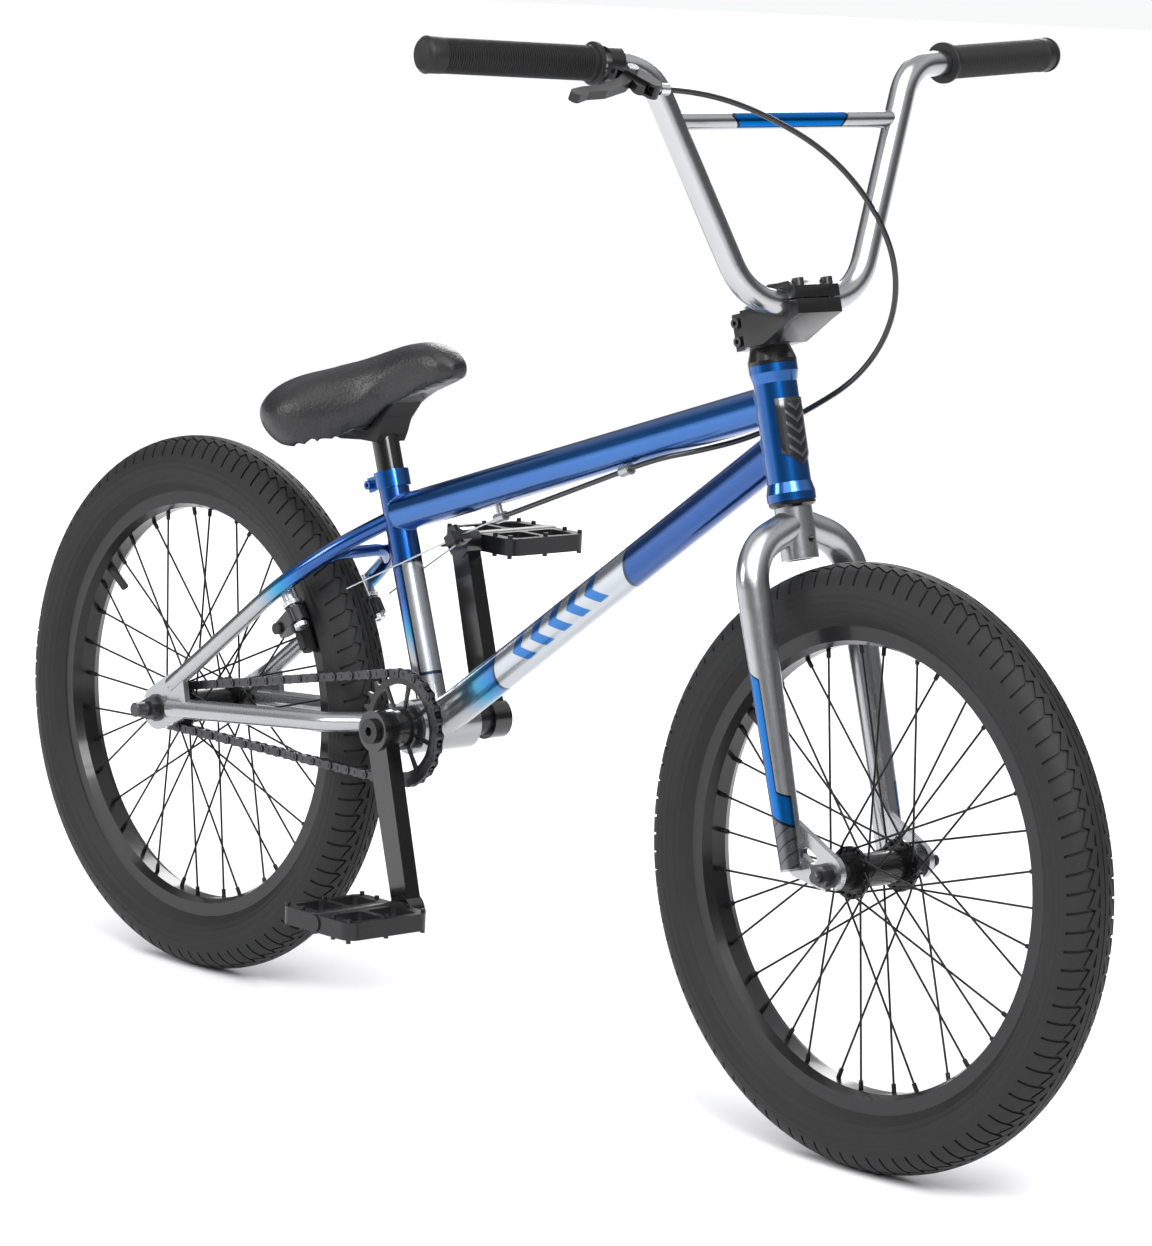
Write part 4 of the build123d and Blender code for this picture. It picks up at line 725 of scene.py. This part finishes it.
def addSaddle(s):
    pad = copiedNode("saddle_pad", "paddedSaddleCover")
    modified(pad, "REMESH", mode="VOXEL", voxel_size=s["voxel"])
    modified(pad, "SMOOTH", factor=0.5, iterations=3)
    rest = [v.co.copy() for v in pad.data.vertices]
    cloth = pad.modifiers.new("Cover", "CLOTH")
    cloth.settings.use_pressure = True
    cloth.settings.uniform_pressure_force = s["pressure"]
    cloth.settings.effector_weights.gravity = 0
    for step in range(1, s["frames"] + 1):
        scene.frame_set(step)
    swollen = pad.evaluated_get(bpy.context.evaluated_depsgraph_get()).data
    moved = [v.co.copy() for v in swollen.vertices]
    pad.modifiers.remove(cloth)
    scene.frame_set(1)
    for v, start, end in zip(pad.data.vertices, rest, moved):
        step = end - start
        v.co = start + step * min(1, s["swell"] / max(step.length, 1e-9))
    modified(pad, "SMOOTH", factor=0.5, iterations=4)
    modified(pad, "SUBSURF", levels=1, render_levels=1)
    dress(pad, "saddle")
    pick(pad)
    ops.object.shade_smooth()
    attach(pad, "frame")
    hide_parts("saddle_pad")


addSaddle(saddleSet)
print("saddle done")


# Grips: ribbed rubber with a smooth collar at each end, a flange inside and a plug outside.
gripSet = {
    "bend": (0.0607, 0.1543, 0.6809), "barEnd": (0.030, 0.3645, 0.697), "start": 0.205, "bore": 0.0113,
    "flange": 0.018,
    "body": 0.0146, "rib": 0.0008, "pitch": 0.0023, "innerCollar": 0.009, "outerCollar": 0.013, "plug": 0.0155,
    "plugLength": 0.005,
}


def inFrame(forward, left, up):
    return tubes["axisFoot"] + tubes["axisForward"] * forward + Vector((0, left, 0)) + tubes["axisUp"] * up


def addGrip(g, side, name, node):
    bend, end = inFrame(*g["bend"]), inFrame(*g["barEnd"])
    way = (end - bend).normalized()
    start = bend + way * ((g["start"] - bend.y) / way.y)
    length = (end - start).length
    # each ring is its distance along the grip and its radius
    rings = [(0.0, g["flange"] - 0.0006), (0.0006, g["flange"]), (0.0034, g["flange"])]
    rings += [(0.004, g["flange"] - 0.0006), (0.0044, g["body"] + 0.0004),
        (g["innerCollar"], g["body"] + 0.0004)]
    at = g["innerCollar"] + 0.0006
    while at < length - g["outerCollar"] - g["pitch"]:
        rings += [(at, g["body"] - g["rib"]), (at + g["pitch"] * 0.3, g["body"] - g["rib"])]
        rings += [(at + g["pitch"] * 0.5, g["body"]), (at + g["pitch"] * 0.85, g["body"])]
        at += g["pitch"]
    rings += [(at, g["body"] - g["rib"]), (at + 0.0008, g["body"] + 0.0003)]
    rings += [(length - 0.004, g["body"] + 0.0004), (length - 0.0005, g["body"] - 0.0006)]
    rings += [(length - 0.0002, g["plug"] - 0.0004), (length + 0.0003, g["plug"]),
        (length + 0.0016, g["plug"] - 0.0002)]
    outer = length + g["plugLength"]
    rings += [(outer - 0.0005, g["plug"] - 0.0027), (outer, g["plug"] - 0.0034)]
    ops.mesh.primitive_circle_add(vertices=48, radius=g["bore"], location=(0, 0, 0))
    grip = started(name)
    ops.object.mode_set(mode="EDIT")
    ops.mesh.select_all(action="SELECT")
    height, radius = 0.0, g["bore"]
    for nextHeight, nextRadius in rings:
        ops.mesh.extrude_region_move(TRANSFORM_OT_translate={"value": (0, 0, nextHeight - height)})
        ops.transform.resize(value=(nextRadius / radius, nextRadius / radius, 1),
            center_override=(0, 0, nextHeight))
        height, radius = nextHeight, nextRadius
    ops.mesh.edge_face_add()
    ops.mesh.inset(thickness=0.0015, depth=-0.0004)
    ops.object.mode_set(mode="OBJECT")
    grip.matrix_world = Matrix.Translation(start) @ way.to_track_quat("Z", "Y").to_matrix().to_4x4()
    ops.object.transform_apply(location=True, rotation=True)
    if side < 0:
        grip.scale = (1, -1, 1)
        ops.object.transform_apply(scale=True)
    finished(grip, "fork", "grip", 40)
    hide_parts(node)


addGrip(gripSet, 1, "ribbedGripLeft", "grip_left")
addGrip(gripSet, -1, "ribbedGripRight", "grip_right")
print("grips done")


# Stem: the forged body and cap, with softened edges.
stemSet = {"round": 0.0022, "segments": 3, "flat": 3, "sharp": 40}


def addStemPart(s, node, name):
    part = copiedNode(node, name)
    ops.object.mode_set(mode="EDIT")
    ops.mesh.select_all(action="SELECT")
    ops.mesh.dissolve_limited(angle_limit=math.radians(s["flat"]))
    ops.object.mode_set(mode="OBJECT")
    sharp = math.radians(s["sharp"])
    modified(part, "BEVEL", width=s["round"], segments=s["segments"], limit_method="ANGLE", angle_limit=sharp)
    finished(part, "fork", "casting", 40)
    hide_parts(node)


addStemPart(stemSet, "stem_body", "forgedStemBody")
addStemPart(stemSet, "stem_cap", "forgedStemCap")
print("stem done")


# Head badge: a thin curved plate with plain chevrons.
badgeSet = {
    "radius": 0.0193, "low": 0.347, "high": 0.405, "wrap": 52, "wall": 0.0009, "chevron": 0.010, "point": 0.75,
    "lean": 0.8, "line": 0.0012, "field": (0.005, 0.0105), "rim": (0.002, 0.0135),
    "black": (0.006, 0.006, 0.008), "metal": (0.20, 0.21, 0.225),
}


def badgeFinish():
    b = badgeSet
    finish = Finish("chevronBadge", Coat_Weight=0.8, Coat_Roughness=0.08)
    up = finish.along(tubes["axisUp"], tubes["axisFoot"])
    side = abs(finish.along((0, 1, 0)))
    arrow = up - side * b["lean"]
    lines = abs(arrow.wrapped(b["chevron"]) - b["chevron"] / 2).below(b["line"])

    def inside(margin, half):
        return up.above(b["low"] + margin) * up.below(b["high"] - margin) * side.below(half)

    field = inside(*b["field"])
    rim = 1 - inside(*b["rim"])
    grain = finish.noise(900.0, 2.0)
    metal = lines * field
    finish.set("Base Color", finish.mixed(metal, b["black"], b["metal"]))
    finish.set("Metallic", metal)
    finish.set("Roughness", 0.22 + 0.08 * grain)
    return finish.bumped(sumOf(metal, rim), 0.0003, 0.8)


def addBadge(b):
    middle = (b["low"] + b["high"]) / 2
    ops.mesh.primitive_cylinder_add(vertices=96, radius=b["radius"], depth=b["high"] - b["low"],
        end_fill_type="NOTHING", location=(0, 0, 0))
    badge = started("headBadge")
    wrap = math.cos(math.radians(b["wrap"])) * b["radius"]
    select(badge, "FACE", lambda f: f.center.x < wrap)
    ops.mesh.delete(type="FACE")
    ops.mesh.select_all(action="SELECT")
    ops.mesh.subdivide(number_cuts=5)
    for side in (-1, 1):  # the foot is cut to a point
        ops.mesh.select_all(action="SELECT")
        ops.mesh.bisect(plane_co=(0, 0, (b["low"] - b["high"]) / 2), plane_no=(0, -side * b["point"], 1),
            clear_inner=True)
    ops.object.mode_set(mode="OBJECT")
    modified(badge, "SOLIDIFY", thickness=b["wall"], offset=1)
    modified(badge, "BEVEL", width=0.0002, segments=2, limit_method="ANGLE")
    turn = Matrix((tubes["axisForward"], (0, 1, 0), tubes["axisUp"])).transposed().to_4x4()
    badge.matrix_world = Matrix.Translation(inFrame(0, 0, middle)) @ turn
    finished(badge, "frame", "badge")


finishes["badge"] = badgeFinish()
addBadge(badgeSet)
print("badge done")


# Welds: overlapping beads where one tube meets another.
weldSet = {"bead": 0.0026, "step": 0.0021, "sink": 0.0006}
welds = [
    # name, tube start, tube end, its radius, axis point and direction it meets, that radius, slot, finish
    ("weldTopHead", tubes["topBack"], tubes["topFront"], 0.0172, tubes["axisFoot"], tubes["axisUp"], 0.019,
        "blue_paint", "weldBlue"),
    ("weldDownHead", tubes["bracket"], tubes["downFront"], 0.0173, tubes["axisFoot"], tubes["axisUp"], 0.019,
        "blue_paint", "weldBlue"),
    ("weldTopSeat", tubes["topFront"], tubes["topBack"], 0.0172, tubes["bracket"], tubes["seatUp"], 0.0143,
        "blue_paint", "weldBlue"),
    ("weldDownBracket", tubes["downFront"], tubes["bracket"], 0.0173, tubes["bracket"], Vector((0, 1, 0)),
        0.0235, "silver_paint", "weldSilver"),
    ("weldSeatBracket", tubes["bracket"] + tubes["seatUp"] * 0.2, tubes["bracket"], 0.0143, tubes["bracket"],
        Vector((0, 1, 0)), 0.0235, "silver_paint", "weldSilver"),
]
finishes["weldBlue"] = weldPaint("weldBeadBlue", (0.002, 0.06, 0.22), (0.004, 0.12, 0.34))
finishes["weldSilver"] = weldPaint("weldBeadSilver", (0.48, 0.49, 0.51), (0.62, 0.63, 0.65))


def addWeld(w, name, start, end, radius, foot, way, other, slot, finish):
    axis = (end - start).normalized()
    first = axis.cross(Vector((0, 1, 0))).normalized() if abs(axis.y) < 0.9 else Vector((1, 0, 0))
    second = axis.cross(first)
    count = round(math.tau * radius / w["step"])
    ops.mesh.primitive_ico_sphere_add(subdivisions=2, radius=w["bead"], location=(0, 0, 0))
    bead = started("bead")
    ops.object.mode_set(mode="EDIT")
    ops.mesh.select_all(action="SELECT")
    ops.transform.resize(value=(1.0, 0.62, 0.62))
    ops.object.mode_set(mode="OBJECT")
    beads = []
    for step in range(count):
        turn = math.tau * step / count
        rim = start + (first * math.cos(turn) + second * math.sin(turn)) * (radius - w["sink"])
        flat, lift = axis - way * axis.dot(way), (rim - foot) - way * (rim - foot).dot(way)
        a, b, c = flat.dot(flat), 2 * flat.dot(lift), lift.dot(lift) - (other - w["sink"]) ** 2
        spread = b * b - 4 * a * c
        if spread < 0:
            continue
        place = rim + axis * ((-b - math.sqrt(spread)) / (2 * a))
        twin = copied(bead, "bead")
        twin.matrix_world = Matrix.Translation(place) @ axis.to_track_quat("X", "Z").to_matrix().to_4x4()
        beads.append(twin)
    bpy.data.objects.remove(bead)
    weld = joined(beads, name)
    ops.object.transform_apply(location=True, rotation=True, scale=True)
    ops.object.shade_smooth()
    dress(weld, finish)
    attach(weld, "frame")


for weld in welds:
    addWeld(weldSet, *weld)
print("welds done")


# Studio: pale floor, pale air, a soft sun and three soft lights.
studio = {
    "floor": (0.86, 0.86, 0.87), "air": (0.94, 0.945, 0.95), "sun": 2.3, "sunAngle": 70,
    "sunAt": (1.4, -2.0, 4.0), "blueness": 1.02,
    "floorRadius": 26, "floorInset": 18, "lookAt": (0, 0, 0.4),
    "sky": [(0.0, 0.55), (0.5, 0.40), (0.53, 0.10), (0.66, 0.16), (0.80, 0.85), (1.0, 0.55)],
    "lights": [("keyLight", (2.6, -1.4, 2.6), 1.3, 70), ("sideLight", (-1.6, -3.2, 1.6), 1.2, 45),
        ("backLight", (-2.2, 2.6, 2.4), 1.6, 60)],
}


def addStudio(s):
    nothing()
    ops.mesh.primitive_circle_add(vertices=64, radius=s["floorRadius"], fill_type="NGON", location=(0, 0, 0))
    floor = started("studioFloor")
    ops.object.mode_set(mode="EDIT")
    ops.mesh.inset(thickness=s["floorInset"])
    ops.object.mode_set(mode="OBJECT")
    paper = Finish("studioPaper", Roughness=0.9)
    grain = paper.noise(60.0, 2.0)
    paper.set("Base Color", paper.mixed(grain, s["floor"], tuple(x * 0.99 for x in s["floor"])))
    floor.data.materials.append(paper.material)
    world = bpy.data.worlds.new("studioAir")
    world.use_nodes = True
    tree = world.node_tree
    air = tree.nodes["Background"]  # what the lens sees past the floor, as pale as the floor
    air.inputs["Color"].default_value = (*s["air"], 1)
    sky = tree.nodes.new("ShaderNodeBackground")  # what lights the bike: bright above, dim at eye height
    ray = tree.nodes.new("ShaderNodeLightPath")
    blend = tree.nodes.new("ShaderNodeMixShader")
    spot = tree.nodes.new("ShaderNodeTexCoord")
    split = tree.nodes.new("ShaderNodeSeparateXYZ")
    shift = tree.nodes.new("ShaderNodeMath")
    shift.operation = "MULTIPLY_ADD"
    shift.inputs[1].default_value = shift.inputs[2].default_value = 0.5
    ramp = tree.nodes.new("ShaderNodeValToRGB")
    stops = ramp.color_ramp.elements
    for stop, (at, level) in zip((stops[0], stops[1]), (s["sky"][0], s["sky"][-1])):
        stop.position, stop.color = at, (level, level, level * s["blueness"], 1)
    for at, level in s["sky"][1:-1]:
        stops.new(at).color = (level, level, level * s["blueness"], 1)
    links = (
        (spot.outputs["Generated"], split.inputs[0]), (split.outputs["Z"], shift.inputs[0]),
        (shift.outputs[0], ramp.inputs[0]), (ramp.outputs[0], sky.inputs["Color"]),
        (ray.outputs["Is Camera Ray"], blend.inputs[0]), (sky.outputs[0], blend.inputs[1]),
        (air.outputs[0], blend.inputs[2]), (blend.outputs[0], tree.nodes["World Output"].inputs["Surface"]),
    )
    for start, end in links:
        tree.links.new(start, end)
    scene.world = world
    scene.view_settings.view_transform = "Standard"
    sun = bpy.data.lights.new("softSun", "SUN")
    sun.energy, sun.angle = s["sun"], math.radians(s["sunAngle"])
    sunny = bpy.data.objects.new("softSun", sun)
    scene.collection.objects.link(sunny)
    sunny.rotation_euler = Vector(s["sunAt"]).to_track_quat("Z", "Y").to_euler()
    for name, at, size, power in s["lights"]:
        lamp = bpy.data.lights.new(name, "AREA")
        lamp.size, lamp.energy = size, power
        light = bpy.data.objects.new(name, lamp)
        scene.collection.objects.link(light)
        light.location = at
        light.rotation_euler = (Vector(s["lookAt"]) - Vector(at)).to_track_quat("-Z", "Y").to_euler()


addStudio(studio)
nothing()
print("studio lit")
